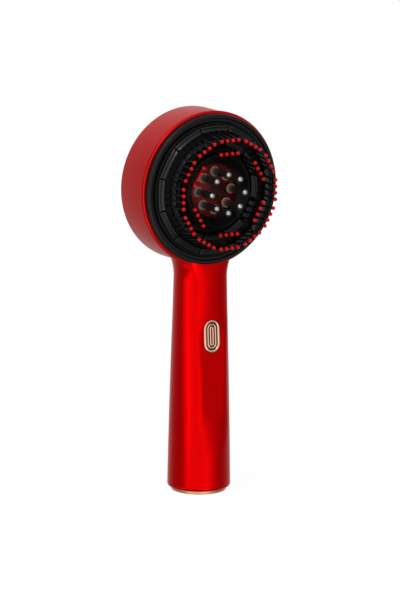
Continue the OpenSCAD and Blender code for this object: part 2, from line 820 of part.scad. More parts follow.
// ---- Button ----

module button_bezel() color(ROSE) on_facet() difference() {
    union() {
        slab(button_gasket_t - recess, ring_proud - ring_chamfer) stadium(button_w, button_l);
        slab(ring_proud - ring_chamfer - eps, ring_proud)
            stadium(button_w - 2 * ring_chamfer, button_l - 2 * ring_chamfer);
        slab(sleeve_low, button_gasket_t - recess + eps) stadium(sleeve_w, sleeve_l);
    }
    slab(sleeve_low - cut, ring_proud + cut) stadium(cap_w + 2 * fit_gap, cap_l + 2 * fit_gap);
}

module button_gasket() color(GRAPHITE) on_facet() difference() {
    slab(-recess, button_gasket_t - recess) stadium(button_w, button_l);
    slab(-recess - cut, cut) stadium(sleeve_w + 2 * fit_gap, sleeve_l + 2 * fit_gap);
}

// A stadium that lies that far inside the cap's outline.
module cap_step(inset) {
    stadium(cap_w - 2 * inset, cap_l - 2 * inset);
}

module button_cap() color(ROSE) on_facet() {
    second = shoulder_w + ridge_w + groove_w;
    slab(flange_low, flange_top) cap_step(-flange_w);
    slab(flange_low, cap_proud - ridge_h) cap_step(0);
    slab(cap_proud - ridge_h - eps, cap_proud) {
        difference() {
            cap_step(shoulder_w);
            cap_step(shoulder_w + ridge_w);
        }
        difference() {
            cap_step(second);
            cap_step(second + ridge_w);
        }
    }
}

module tact_switch() color(GRAPHITE) on_facet() difference() {
    slab(board_top, switch_top) square(switch_size, center = true);
    disc(plunger_r + run_gap, switch_top - plunger_foot - button_travel - fit_gap, switch_top + cut);
}

module switch_plunger() color(BLACK) on_facet()
    disc(plunger_r, switch_top - plunger_foot, plunger_top);

module main_board() color(BOARD) on_facet() slab(board_low, board_top)
    translate([-board_w / 2, -board_down]) square([board_w, board_up + board_down]);

// Each chip: its place up the board, shift to the right, width, length and height.
module board_components() color(BLACK) on_facet()
    for (c = [[0.29, -0.03, 0.33, 0.21, 1], [0.63, -0.07, 0.53, 0.15, 1.6], [0.25, 0.29, 0.13, 0.13, 0.8]])
        translate([(c[1] - c[2] / 2) * board_w, c[0] * board_up, board_top])
            cube([c[2] * board_w, c[3] * board_up, c[4]]);

// ---- Grip ----

module battery_cell() color([0.2, 0.35, 0.6])
    translate([0, cell_y, 0]) disc(cell_d / 2, cell_z, cell_z + cell_len);

module battery_tabs() color(STEEL)
    for (z = [cell_z - tab_t, cell_z + cell_len])
        translate([-tab_size / 2, cell_y - tab_size / 2, z]) cube([tab_size, tab_size, tab_t]);

// Half-round cradle for the cell, with a foot plate below and two rails for the main board above.
module battery_cradle() color(GRAPHITE) {
    floor_z = ring_top_z + cradle_floor;
    shelf_z = cell_z - tab_t;
    pocket = 0.3;
    rail_x = board_w / 2 - rail_inset - rail_w / 2;
    difference() {
        translate([0, cell_y, 0]) disc(cradle_r, ring_top_z, cradle_top);
        translate([0, cell_y, 0]) disc(cradle_bore, shelf_z, cradle_top - end_plate);
        translate([0, cell_y, 0]) disc(cradle_bore, floor_z, shelf_z - end_plate);
        translate([-reach / 2, cell_y - cradle_open - reach, floor_z]) cube([reach, reach, cradle_top]);
        translate([-charge_board_w / 2 - pocket, -port_t / 2 - pocket, ring_top_z - cut])
            cube([charge_board_w + 2 * pocket, port_t + board_thick + 2 * pocket + fit_gap,
                shelf_z - end_plate - ring_top_z + cut + eps]);
        base_screw_places() disc(base_screw_r + fit_gap / 2, ring_top_z - cut, floor_z - pocket);
    }
    difference() {
        intersection() {
            on_facet() for (s = [-1, 1])
                translate([s * rail_x - rail_w / 2, -board_up, board_low - dip_depth])
                    cube([rail_w, 2 * board_up, dip_depth]);
            translate([0, cell_y, 0]) disc(cradle_r - fit_gap, cradle_top - eps, neck_z);
        }
        translate([-reach / 2, rail_back, cradle_top + cradle_open]) cube([reach, reach, reach]);
    }
}

module base_screw_places() {
    for (s = [-1, 1]) translate([s * base_screw_x, base_screw_y, 0]) children();
}

module charge_board() color(BOARD) translate([-charge_board_w / 2, charge_board_y, charge_board_z])
    cube([charge_board_w, board_thick, charge_board_h]);

module port_shape(grow, low, top) {
    slab(low, top) rotate(90) stadium(port_t + 2 * grow, port_w + 2 * grow);
}

module charge_port() color(STEEL) difference() {
    port_shape(0, port_z, port_z + port_len);
    port_shape(-port_skin, port_z - cut, port_z + port_len - cut);
}

// The wires' routes, from board to board, and from the main board through the neck.
battery_route = [
    [4.5, charge_board_y - lead_r - fit_gap, charge_board_z + 8.5],
    [4.6, -port_t / 2, charge_board_z + 8.9], [7.4, 0.82 * lead_y, cell_z - 3.5],
    [lead_x, lead_y, cell_z + 0.5], [lead_x, lead_y, cell_z + cell_len / 2],
    [lead_x, lead_y, cell_z + cell_len - 3.5], [0.94 * lead_x, lead_y + 0.2, cradle_top + 1],
    [0.67 * lead_x, lead_y + 0.4, button_z - board_down - 3.4],
    [0.58 * lead_x, lead_y + 0.5, button_z - board_down - 0.8]];
function motor_route(s) = let (x = s * lead_pitch / 2, y = motor_y + s * terminal_y) [
    [x - 0.5, board_back(neck_z - 7) + lead_r + 0.25, neck_z - 7],
    [x - 0.5, board_back(neck_z - 7) + 4 * lead_r, neck_z - 6.6],
    [x - 1, neck_y, neck_z - 4.5], [x - 1.5, neck_y + 1.1, neck_z - 1],
    [x - 1.5, 2 * neck_y, neck_z + 9], [x - 2.5, 2 * neck_y + 0.4 + 0.8 * s, head_z - bore_r + 0.7],
    [0.8 * terminal_x, motor_y - 0.9 + 1.8 * s, motor_z - 9.6],
    [terminal_x, y, motor_z - 6.2], [terminal_x, y, motor_z - terminal_w / 2 - 0.4]];
led_route = [
    [-3.6, board_back(neck_z - 11) + lead_r + 0.25, neck_z - 11],
    [-3.6, board_back(neck_z - 11) + 4 * lead_r, neck_z - 10.4], [-4, 0.6, neck_z - 8],
    [-4.2, 0.8, neck_z - 3], [-4.2, 0.8, neck_z + 11], [-5.6, 0.8, head_z - bore_r + 1.2],
    [terminal_x - 0.4, led_back, motor_z - 6.6], [led_lead_x, led_back, motor_z - 1.6],
    [led_lead_x, led_back, head_z - led_board_r + 1.1],
    [led_lead_x + 1.6, led_back, head_z - led_board_r + 4.7],
    [led_lead_x + 4.2, led_back, head_z - led_board_r + 6.5]];

module battery_leads() color(RED)
    for (s = [-1, 1]) sweep([for (p = battery_route) [s * p[0], p[1], p[2]]], lead_r);

module motor_leads() color(COPPER)
    for (s = [-1, 1]) sweep(motor_route(s), lead_r);

module led_leads() color(WHITE) sweep(led_route, lead_r);

// ---- Base ----

module base_ring() color(ROSE) {
    flange_r = foot_bore_r - fit_gap;
    lathe([[plug_r + fit_gap, 0], [foot_r - foot_edge, 0], [foot_r, foot_edge], [foot_r, shell_z],
        [flange_r, shell_z], [flange_r, ring_top_z], [plug_r - ring_flange, ring_top_z],
        [plug_r - ring_flange, ring_step_z], [plug_r + fit_gap, ring_step_z]]);
}

module base_plug() color(BLACK) difference() {
    union() {
        disc(plug_r, plug_inset, ring_step_z);
        base_screw_places() disc(base_boss_r, ring_step_z - eps, ring_top_z);
    }
    port_shape(fit_gap, -cut, ring_step_z + cut);
    port_shape(port_rim, -cut, plug_inset + port_rim);
    base_screw_places() {
        disc(base_screw_r + fit_gap, -cut, ring_top_z + cut);
        disc(base_head_r + fit_gap, -cut, base_head_top);
    }
}

module base_screws() color(STEEL) base_screw_places() {
    difference() {
        disc(base_head_r, base_head_top - base_head_h, base_head_top);
        cross_slot(1.2 * base_head_r, 0.8 * slot_w, -cut, base_head_top - 0.4 * base_head_h);
    }
    disc(base_screw_r, base_head_top - eps, ring_top_z + base_screw_grip);
}

main_housing();
rear_cover();
rear_cover_gasket();
front_bezel();
head_chassis();
chassis_screws();
light_window();
led_board();
leds();
motor_can();
motor_bracket();
bracket_screws();
motor_shaft();
eccentric_weight();
brush_carrier();
brush_pad();
outer_bristles();
outer_bristle_tips();
inner_bristles();
inner_bristle_tips();
cartridge_collar();
cartridge_cover();
nozzle_tubes();
nozzle_springs();
roller_ball(1);  // roller_ball_1
roller_ball(2);  // roller_ball_2
roller_ball(3);  // roller_ball_3
roller_ball(4);  // roller_ball_4
roller_ball(5);  // roller_ball_5
roller_ball(6);  // roller_ball_6
roller_ball(7);  // roller_ball_7
roller_ball(8);  // roller_ball_8
oil_cup();
cup_gasket();
cartridge_oring();
button_bezel();
button_gasket();
button_cap();
tact_switch();
switch_plunger();
main_board();
board_components();
battery_cell();
battery_tabs();
battery_cradle();
charge_board();
charge_port();
battery_leads();
motor_leads();
led_leads();
base_ring();
base_plug();
base_screws();
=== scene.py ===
import math
import bmesh
import bpy
from mathutils import Matrix, Vector


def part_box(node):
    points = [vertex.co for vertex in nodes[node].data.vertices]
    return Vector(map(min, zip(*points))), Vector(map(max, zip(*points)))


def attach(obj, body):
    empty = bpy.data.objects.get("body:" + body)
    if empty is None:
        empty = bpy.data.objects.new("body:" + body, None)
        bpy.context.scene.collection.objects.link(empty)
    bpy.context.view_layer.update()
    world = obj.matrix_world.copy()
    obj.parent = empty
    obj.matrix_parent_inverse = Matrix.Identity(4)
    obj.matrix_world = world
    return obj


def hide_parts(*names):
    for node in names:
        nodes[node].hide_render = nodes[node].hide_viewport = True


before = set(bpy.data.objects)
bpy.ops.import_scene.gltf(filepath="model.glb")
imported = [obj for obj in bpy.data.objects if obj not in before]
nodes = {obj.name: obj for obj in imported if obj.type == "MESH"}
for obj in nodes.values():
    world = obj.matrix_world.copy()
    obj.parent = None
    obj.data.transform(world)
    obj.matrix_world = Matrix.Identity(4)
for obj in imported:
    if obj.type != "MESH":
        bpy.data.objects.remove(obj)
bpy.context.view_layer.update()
scene = bpy.context.scene
mm = 0.001
tau = 2 * math.pi
crease = 34  # degrees: an edge that turns by more than this is shaded sharp
print("frame loaded:", len(nodes), "nodes")

# Sizes of the massager in millimetres, the same as the solids have
body = {
    "headZ": 168.1, "drumR": 41.9, "rimR": 42.5, "boreR": 39.8, "drumBack": 14.75, "rimFront": 9.3,
    "gripLow": 17.3, "gripTop": 14.5, "shellZ": 1.8, "footRound": 1.7, "flareZ": 119.0, "flareR": 30.0,
    "wall": 2.2, "neckZ": 113.0, "belly": 0.2, "bellyZ": 52.0, "bellyReach": 48.0,
}


# A node's output, which can be used in sums
class Wire:
    def __init__(self, bench, socket):
        self.bench = bench
        self.socket = socket

    # Another output of the same node
    def also(self, out):
        return Wire(self.bench, self.socket.node.outputs[out])

    def maths(self, how, *values):
        return self.bench.add("ShaderNodeMath", {"operation": how}, dict(enumerate(values)))

    def __add__(self, other):
        return self.maths("ADD", self, other)

    def __radd__(self, other):
        return self.maths("ADD", other, self)

    def __sub__(self, other):
        return self.maths("SUBTRACT", self, other)

    def __rsub__(self, other):
        return self.maths("SUBTRACT", other, self)

    def __mul__(self, other):
        return self.maths("MULTIPLY", self, other)

    def __rmul__(self, other):
        return self.maths("MULTIPLY", other, self)

    def __truediv__(self, other):
        return self.maths("DIVIDE", self, other)

    def __rtruediv__(self, other):
        return self.maths("DIVIDE", other, self)

    def __abs__(self):
        return self.maths("ABSOLUTE", self)


# A ramp's stops are (place, colour) or (place, grey)
def setStops(ramp, stops):
    while len(ramp.elements) > 1:
        ramp.elements.remove(ramp.elements[-1])
    for i, (spot, tone) in enumerate(stops):
        stop = ramp.elements[0] if i == 0 else ramp.elements.new(spot)
        stop.position = spot
        stop.color = (*tone, 1) if isinstance(tone, tuple) else (tone, tone, tone, 1)


# A node tree that is being built
class Bench:
    def __init__(self, tree):
        self.tree = tree

    # Adds a node: its settings come first, then a value or a wire for each socket
    def add(self, kind, settings=None, sockets=None, out=0):
        node = self.tree.nodes.new(kind)
        for key, value in (settings or {}).items():
            if key == "stops":
                setStops(node.color_ramp, value)
            elif key == "spread":
                node.color_ramp.interpolation = value
            else:
                setattr(node, key, value)
        for key, value in (sockets or {}).items():
            for item in value if isinstance(value, list) else [value]:
                if isinstance(item, Wire):
                    self.tree.links.new(item.socket, node.inputs[key])
                else:
                    node.inputs[key].default_value = item
        return Wire(self, node.outputs[out]) if len(node.outputs) else None


# Goes from low to high, softly at both ends, while the value goes from start to end
def fade(bench, value, start, end, low=0.0, high=1.0):
    return bench.add("ShaderNodeMapRange", {"interpolation_type": "SMOOTHSTEP"},
                     {"Value": value, "From Min": start, "From Max": end, "To Min": low, "To Max": high})


def newFinish(name):
    finish = bpy.data.materials.new(name)
    finish.use_nodes = True
    finish.node_tree.nodes.clear()
    return finish, Bench(finish.node_tree)


def closeFinish(bench, shader):
    bench.add("ShaderNodeOutputMaterial", None, {"Surface": shader})


def glowing(bench, strength):
    return bench.add("ShaderNodeEmission", None, {"Color": (1, 1, 1, 1), "Strength": strength})


def mixShaders(bench, share, first, second):
    return bench.add("ShaderNodeMixShader", None, {0: share, 1: first, 2: second})


def paint(bench, sockets):
    closeFinish(bench, bench.add("ShaderNodeBsdfPrincipled", None, sockets))


def objectSpot(bench):
    return bench.add("ShaderNodeTexCoord", out="Object")


def cloudy(bench, spot, scale, detail=2.0):
    return bench.add("ShaderNodeTexNoise", None, {"Vector": spot, "Scale": scale, "Detail": detail})


# The roughness, a little uneven with the clouds
def uneven(clouds, roughness, spread):
    return clouds * spread + (roughness - spread / 2)


def raised(bench, height, strength, distance=0.0002):
    return bench.add("ShaderNodeBump", None, {"Strength": strength, "Distance": distance, "Height": height})


# The two colours are inputs 6 and 7 of the node, and their blend is its output 2
def blendColours(bench, share, first, second):
    return bench.add("ShaderNodeMix", {"data_type": "RGBA"}, {"Factor": share, 6: first, 7: second}, out=2)


def shade(colour, by):
    return tuple(min(1.0, part * by) for part in colour) + (1.0,)


# Metallic red lacquer: flakes and clouds between two reds in the base coat, and orange peel on top
lacquer = {
    "deep": (0.68, 0.0, 0.0004), "bright": (0.92, 0.0, 0.0012), "least": 0.27,
    "flakeScale": 5200.0, "flakes": 0.16, "cloudScale": 55.0, "clouds": 0.3,
    "peelScale": 900.0, "peel": 0.008, "spread": 0.03, "coatIor": 1.45,
}


# dark scales both reds; below 1 it gives a darker, shaded copy of the lacquer, which is painted shade
def redLacquer(name, roughness, coat, coatRoughness, tint=(0.9, 0.5, 0.5), dark=1.0):
    finish, bench = newFinish(name)
    spot = objectSpot(bench)
    cells = bench.add("ShaderNodeTexVoronoi", None, {"Vector": spot, "Scale": lacquer["flakeScale"]},
                      out="Color")
    flakes = bench.add("ShaderNodeSeparateColor", None, {"Color": cells})
    clouds = cloudy(bench, spot, lacquer["cloudScale"], 3.0)
    depth = flakes * lacquer["flakes"] + clouds * lacquer["clouds"] + lacquer["least"]
    colour = blendColours(bench, depth, shade(lacquer["deep"], dark), shade(lacquer["bright"], dark))
    peel = cloudy(bench, spot, lacquer["peelScale"], 1.0)
    paint(bench, {
        "Base Color": colour, "Metallic": 1.0, "Roughness": uneven(clouds, roughness, lacquer["spread"]),
        "Specular Tint": (*tint, 1), "Coat Weight": coat, "Coat Roughness": coatRoughness,
        "Coat IOR": lacquer["coatIor"], "Normal": raised(bench, peel, lacquer["peel"])})
    return finish


# Moulded plastic or rubber with a fine grain
def moulded(name, colour, roughness, grain=1800.0, relief=0.08, contrast=0.25, specular=0.5):
    finish, bench = newFinish(name)
    spot = objectSpot(bench)
    clouds = cloudy(bench, spot, 90.0, 4.0)
    tone = blendColours(bench, clouds, shade(colour, 1 - contrast), shade(colour, 1 + contrast))
    paint(bench, {
        "Base Color": tone, "Roughness": uneven(clouds, roughness, 0.12), "Specular IOR Level": specular,
        "Normal": raised(bench, cloudy(bench, spot, grain), relief)})
    return finish


def silicone(name, colour, roughness, specular, relief=0.03):
    return moulded(name, colour, roughness, 1400.0, relief, 0.15, specular)


# Polished or brushed metal with fine marks
def brushedMetal(name, colour, roughness, along=(1.0, 1.0, 1.0), marks=0.05):
    finish, bench = newFinish(name)
    spot = objectSpot(bench)
    run = bench.add("ShaderNodeMapping", None, {"Vector": spot, "Scale": along})
    fine = cloudy(bench, run, 2200.0)
    tone = blendColours(bench, cloudy(bench, spot, 120.0, 3.0), shade(colour, 0.92), shade(colour, 1.06))
    paint(bench, {
        "Base Color": tone, "Metallic": 1.0, "Roughness": uneven(fine, roughness, 0.08),
        "Normal": raised(bench, fine, marks, 0.0001)})
    return finish


# Clear moulded plastic
def clearPlastic(name, colour, roughness, ior=1.46):
    finish, bench = newFinish(name)
    clouds = cloudy(bench, objectSpot(bench), 160.0)
    tone = blendColours(bench, clouds, shade(colour, 0.93), shade(colour, 1.05))
    paint(bench, {"Base Color": tone, "Roughness": uneven(clouds, roughness, 0.06), "IOR": ior,
                  "Transmission Weight": 1.0})
    return finish


# Smoked plastic of the nozzles: pale at the root, a painted reflection of the light on the root collar, and
# the smoked dark further out, by stops from rootY to darkY
smokeAndRootGlint = {
    "stops": [(0.0, (0.90, 0.76, 0.58)), (0.16, (0.24, 0.18, 0.125)), (0.5, (0.07, 0.05, 0.04)),
              (1.0, (0.018, 0.013, 0.011))],
    "rootY": -13.3, "darkY": -20.5, "mottle": 0.2, "roughness": 0.16, "ior": 1.46, "through": 0.12,
}


def smokedPlasticRootGlint(name):
    finish, bench = newFinish(name)
    spot = objectSpot(bench)
    clouds = cloudy(bench, spot, 160.0)
    depth = bench.add("ShaderNodeSeparateXYZ", None, {0: spot}, out="Y")
    share = bench.add("ShaderNodeMapRange", None, {
        "Value": depth, "From Min": smokeAndRootGlint["rootY"] * mm, "From Max": smokeAndRootGlint["darkY"] * mm})
    # painted highlight: the ramp's pale first stop paints the light reflected at each nozzle's root
    tone = bench.add("ShaderNodeValToRGB", {"stops": smokeAndRootGlint["stops"]}, {"Fac": share})
    darkest = (*smokeAndRootGlint["stops"][-1][1], 1)
    paint(bench, {
        "Base Color": blendColours(bench, clouds * smokeAndRootGlint["mottle"], tone, darkest),
        "Roughness": uneven(clouds, smokeAndRootGlint["roughness"], 0.04), "IOR": smokeAndRootGlint["ior"],
        "Transmission Weight": smokeAndRootGlint["through"]})
    return finish


# The cup's red with painted shade: dark round one spot (x and height from the head's centre), and clearer
# red away from it
# middle is the painted shade's colour, rim is the cup's own red
cupPaintedShade = {"middle": (0.03, 0.001, 0.001), "rim": (0.34, 0.003, 0.006), "spot": (7.0, -1.5), "start": 2.5,
       "end": 11.0, "mottle": 0.15, "roughness": 0.4, "specular": 0.2}


def cupRedPaintedShade(name):
    finish, bench = newFinish(name)
    spot = objectSpot(bench)
    x, height = cupPaintedShade["spot"]
    flat = bench.add("ShaderNodeMapping", None, {
        "Vector": spot, "Location": (-x * mm, 0, -(body["headZ"] + height) * mm), "Scale": (1, 0, 1)})
    away = bench.add("ShaderNodeVectorMath", {"operation": "LENGTH"}, {0: flat}, out="Value")
    # painted shade: the cup is painted dark round the spot, where it lies in shade, and clears to red away
    # from it
    clear = fade(bench, away, cupPaintedShade["start"] * mm, cupPaintedShade["end"] * mm)
    clouds = cloudy(bench, spot, 140.0, 3.0)
    share = clear * (1 - cupPaintedShade["mottle"]) + clouds * cupPaintedShade["mottle"]
    paint(bench, {
        "Base Color": blendColours(bench, share, (*cupPaintedShade["middle"], 1), (*cupPaintedShade["rim"], 1)),
        "Roughness": uneven(clouds, cupPaintedShade["roughness"], 0.08), "Specular IOR Level": cupPaintedShade["specular"]})
    return finish


finishes = {
    "gripRed": redLacquer("gripRed", 0.23, 0.03, 0.05, tint=(1.0, 1.0, 1.0)),
    "drumRed": redLacquer("drumRed", 0.44, 0.85, 0.35, tint=(0.9, 0.75, 0.75)),
    # painted shade: the rim band is the same red lacquer, painted darker by the factor 0.85
    "bandRed": redLacquer("bandRed", 0.32, 0.3, 0.2, dark=0.85),
    "blackSatin": moulded("blackSatin", (0.0045, 0.0046, 0.0044), 0.34, relief=0.05, contrast=0.15,
                          specular=0.25),
    "wellBlack": moulded("wellBlack", (0.004, 0.004, 0.004), 0.3, relief=0.05, contrast=0.15, specular=0.12),
    "blackSilicone": silicone("blackSilicone", (0.0026, 0.0028, 0.0026), 0.23, 0.44),
    "padSilicone": silicone("padSilicone", (0.0022, 0.0024, 0.0022), 0.3, 0.1),
    "stemSilicone": silicone("stemSilicone", (0.003, 0.0032, 0.003), 0.26, 0.28, relief=0.05),
    "tipRed": moulded("tipRed", (0.60, 0.0004, 0.004), 0.2, grain=1500.0, relief=0.02, contrast=0.1,
                      specular=0.16),
    "greyRubber": moulded("greyRubber", (0.03, 0.03, 0.032), 0.6),
    "greyAbs": moulded("greyAbs", (0.12, 0.12, 0.13), 0.5),
    "roseGold": brushedMetal("roseGold", (0.95, 0.60, 0.44), 0.16, marks=0.03),
    "roseDark": brushedMetal("roseDark", (0.10, 0.05, 0.03), 0.4, marks=0.06),
    "roseRing": brushedMetal("roseRing", (0.80, 0.37, 0.20), 0.24, along=(1, 1, 8), marks=0.04),
    "steel": brushedMetal("steel", (0.72, 0.73, 0.75), 0.28, along=(1, 1, 12)),
    "ballSteel": brushedMetal("ballSteel", (0.51, 0.51, 0.49), 0.15, marks=0.02),
    "brass": brushedMetal("brass", (0.62, 0.48, 0.26), 0.34, along=(12, 1, 1)),
    "clearCover": clearPlastic("clearCover", (0.98, 0.95, 0.94), 0.05, ior=1.12),
    "redLens": clearPlastic("redLens", (0.8, 0.05, 0.05), 0.3),
    "smokyTube": smokedPlasticRootGlint("smokyTube"),
    "redCup": cupRedPaintedShade("redCup"),
    "whiteBoard": moulded("whiteBoard", (0.78, 0.78, 0.75), 0.55),
    "greenBoard": moulded("greenBoard", (0.02, 0.16, 0.06), 0.4, contrast=0.35),
    "ledYellow": moulded("ledYellow", (0.8, 0.62, 0.25), 0.35),
    "cellBlue": moulded("cellBlue", (0.04, 0.12, 0.34), 0.28, grain=600.0, relief=0.03),
    "wireRed": moulded("wireRed", (0.5, 0.02, 0.02), 0.45),
    "wireCopper": brushedMetal("wireCopper", (0.78, 0.42, 0.26), 0.3),
    "wireWhite": moulded("wireWhite", (0.75, 0.75, 0.72), 0.5),
}
print("finishes made:", len(finishes))


# A spot on the head: x, height from its centre, and how far it stands out to the front
def inHead(x, y, out):
    return Vector((x, -out, body["headZ"] + y)) * mm


def upright(x, y, z):
    return Vector((x, y, z)) * mm


# An arc of an outline, from one angle to another in degrees
def roundCorner(centreR, centreH, radius, start, end, steps):
    return [(centreR + radius * math.cos(math.radians(start + (end - start) * i / steps)),
             centreH + radius * math.sin(math.radians(start + (end - start) * i / steps)))
            for i in range(steps + 1)]


# Turns the faces outwards, and shades the mesh smooth between its sharp edges
def smoothMesh(mesh, sharp, merged=False):
    work = bmesh.new()
    work.from_mesh(mesh)
    if merged:
        bmesh.ops.remove_doubles(work, verts=work.verts, dist=1e-7)
    bmesh.ops.recalc_face_normals(work, faces=work.faces)
    work.to_mesh(mesh)
    work.free()
    mesh.polygons.foreach_set("use_smooth", [True] * len(mesh.polygons))
    mesh.set_sharp_from_angle(angle=math.radians(sharp))


def plainPiece(name, points, faces, finish):
    mesh = bpy.data.meshes.new(name)
    mesh.from_pydata([tuple(point) for point in points], [], faces)
    mesh.materials.append(finish)
    piece = bpy.data.objects.new(name, mesh)
    scene.collection.objects.link(piece)
    return piece


# Joins rings of points into faces; a ring of one point is a pole
def skin(rings, closed=False):
    points, faces, spans = [], [], []
    for ring in rings:
        spans.append(range(len(points), len(points) + len(ring)))
        points.extend(ring)
    for low, high in list(zip(spans, spans[1:])) + ([(spans[-1], spans[0])] if closed else []):
        count = max(len(low), len(high))
        for i in range(count):
            j = (i + 1) % count
            if len(low) == 1:
                faces.append((low[0], high[j], high[i]))
            elif len(high) == 1:
                faces.append((low[i], low[j], high[0]))
            else:
                faces.append((low[i], low[j], high[j], high[i]))
    return points, faces


def shapePiece(name, rings, finish, closed=False, sharp=crease):
    piece = plainPiece(name, *skin(rings, closed), finish)
    smoothMesh(piece.data, sharp)
    return piece


# A turned piece from its (radius, height) outline; toSpot puts its points in place
def turned(name, outline, toSpot, finish, sides, closed=True, sharp=crease):
    rings = [[toSpot(0, 0, h)] if r < 1e-6 else
             [toSpot(r * math.cos(tau * i / sides), r * math.sin(tau * i / sides), h) for i in range(sides)]
             for r, h in outline]
    return shapePiece(name, rings, finish, closed, sharp)


# Replaces a piece's mesh by what its modifier makes of it
def bakeShape(piece):
    bpy.context.view_layer.update()
    depsgraph = bpy.context.evaluated_depsgraph_get()
    mesh = bpy.data.meshes.new_from_object(piece.evaluated_get(depsgraph), depsgraph=depsgraph)
    piece.modifiers.clear()
    piece.data = mesh
    mesh.name = piece.name


def cutAway(piece, cutter):
    cut = piece.modifiers.new("cut", "BOOLEAN")
    cut.operation = "DIFFERENCE"
    cut.solver = "EXACT"
    cut.object = cutter
    bakeShape(piece)
    bpy.data.objects.remove(cutter)
    piece.data.set_sharp_from_angle(angle=math.radians(crease))


# The piece rides on its body, and is seen instead of a node's solids
def place(piece, bodyName, node):
    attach(piece, bodyName)
    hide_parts(node)


# Starts a tree; its inputs are lists of names by their kind
def newTree(name, inputs):
    tree = bpy.data.node_groups.new(name, "GeometryNodeTree")
    tree.interface.new_socket(name="Geometry", in_out="OUTPUT", socket_type="NodeSocketGeometry")
    for kind, labels in inputs.items():
        for label in labels:
            tree.interface.new_socket(name=label, in_out="INPUT", socket_type="NodeSocket" + kind)
    bench = Bench(tree)
    source = bench.add("NodeGroupInput")
    return bench, {label: source.also(label) for labels in inputs.values() for label in labels}


def closeTree(bench, shape, finish):
    whole = bench.add("GeometryNodeRealizeInstances", None, {"Geometry": shape})
    painted = bench.add("GeometryNodeSetMaterial", None, {"Geometry": whole, "Material": finish})
    bench.add("NodeGroupOutput", None, {"Geometry": painted})
    return bench.tree


def spotAt(bench, x, y, z):
    return bench.add("ShaderNodeCombineXYZ", None, {"X": x, "Y": y, "Z": z})


def turnBy(bench, x, y, z):
    return bench.add("FunctionNodeEulerToRotation", None, {0: spotAt(bench, x, y, z)})


def putAt(bench, shape, spot, turn=(0, 0, 0)):
    return bench.add("GeometryNodeTransform", None,
                     {"Geometry": shape, "Translation": spot, "Rotation": turn})


# Copies a shape round the head's axis, the first one at the top
def aroundHead(bench, shape, count):
    spokes = bench.add("GeometryNodeMeshLine", {"mode": "OFFSET"}, {"Count": count, "Offset": (0, 0, 0)})
    index = bench.add("GeometryNodeInputIndex")
    turn = turnBy(bench, 0.0, 0.0, index * tau / count + math.pi / 2)
    copies = bench.add("GeometryNodeInstanceOnPoints", None,
                       {"Points": spokes, "Instance": shape, "Rotation": turn})
    return putAt(bench, copies, (0, 0, body["headZ"] * mm), (math.pi / 2, 0, 0))


# A closed line with round corners, in its own plane
def roundedLine(bench, width, height, radius, steps):
    box = bench.add("GeometryNodeCurvePrimitiveQuadrilateral", None, {"Width": width, "Height": height})
    return bench.add("GeometryNodeFilletCurve", {"mode": "POLY"},
                     {"Curve": box, "Count": steps, "Radius": radius, "Limit Radius": True})


def sweepAlong(bench, path, outline):
    return bench.add("GeometryNodeCurveToMesh", None, {"Curve": path, "Profile Curve": outline})


# Makes a plain mesh of what a tree grows from its values
def growPiece(name, tree, values, sharp=crease):
    holder = bpy.data.objects.new(name, bpy.data.meshes.new(name))
    scene.collection.objects.link(holder)
    maker = holder.modifiers.new(name, "NODES")
    maker.node_group = tree
    for item in tree.interface.items_tree:
        if item.item_type == "SOCKET" and item.in_out == "INPUT":
            maker[item.identifier] = values[item.name]
    bakeShape(holder)
    smoothMesh(holder.data, sharp, merged=True)
    return holder


# The drum is a wall swept round the head's axis, with a raised band at its front
drum = {"frontGap": 0.4, "edge": 0.6, "bandGap": 0.05, "bandWidth": 2.3, "bandEdge": 0.62, "sides": 192}


def drumTree():
    bench, given = newTree("drumWall", {
        "Float": ["Radius", "Thickness", "Back", "Front", "Edge"], "Int": ["Sides"], "Material": ["Finish"]})
    path = bench.add("GeometryNodeCurvePrimitiveCircle", {"mode": "RADIUS"},
                     {"Resolution": given["Sides"], "Radius": given["Radius"] - given["Thickness"] / 2})
    outline = roundedLine(bench, given["Thickness"], given["Front"] - given["Back"], given["Edge"], 5)
    wall = sweepAlong(bench, path, outline)
    middle = spotAt(bench, 0.0, (given["Front"] + given["Back"]) * -0.5, body["headZ"] * mm)
    return closeTree(bench, putAt(bench, wall, middle, (math.pi / 2, 0, 0)), given["Finish"])


wallTree = drumTree()
drumShell = growPiece("drumShell", wallTree, {
    "Radius": body["drumR"] * mm, "Thickness": (body["drumR"] - body["boreR"]) * mm,
    "Back": -body["drumBack"] * mm, "Front": (body["rimFront"] - drum["frontGap"]) * mm,
    "Edge": drum["edge"] * mm, "Sides": drum["sides"], "Finish": finishes["drumRed"]})
rimBand = growPiece("rimBand", wallTree, {
    "Radius": body["rimR"] * mm, "Thickness": (body["rimR"] - body["boreR"] - drum["bandGap"]) * mm,
    "Back": (body["rimFront"] - drum["bandWidth"]) * mm, "Front": body["rimFront"] * mm,
    "Edge": drum["bandEdge"] * mm, "Sides": drum["sides"], "Finish": finishes["bandRed"]})
print("drum made")

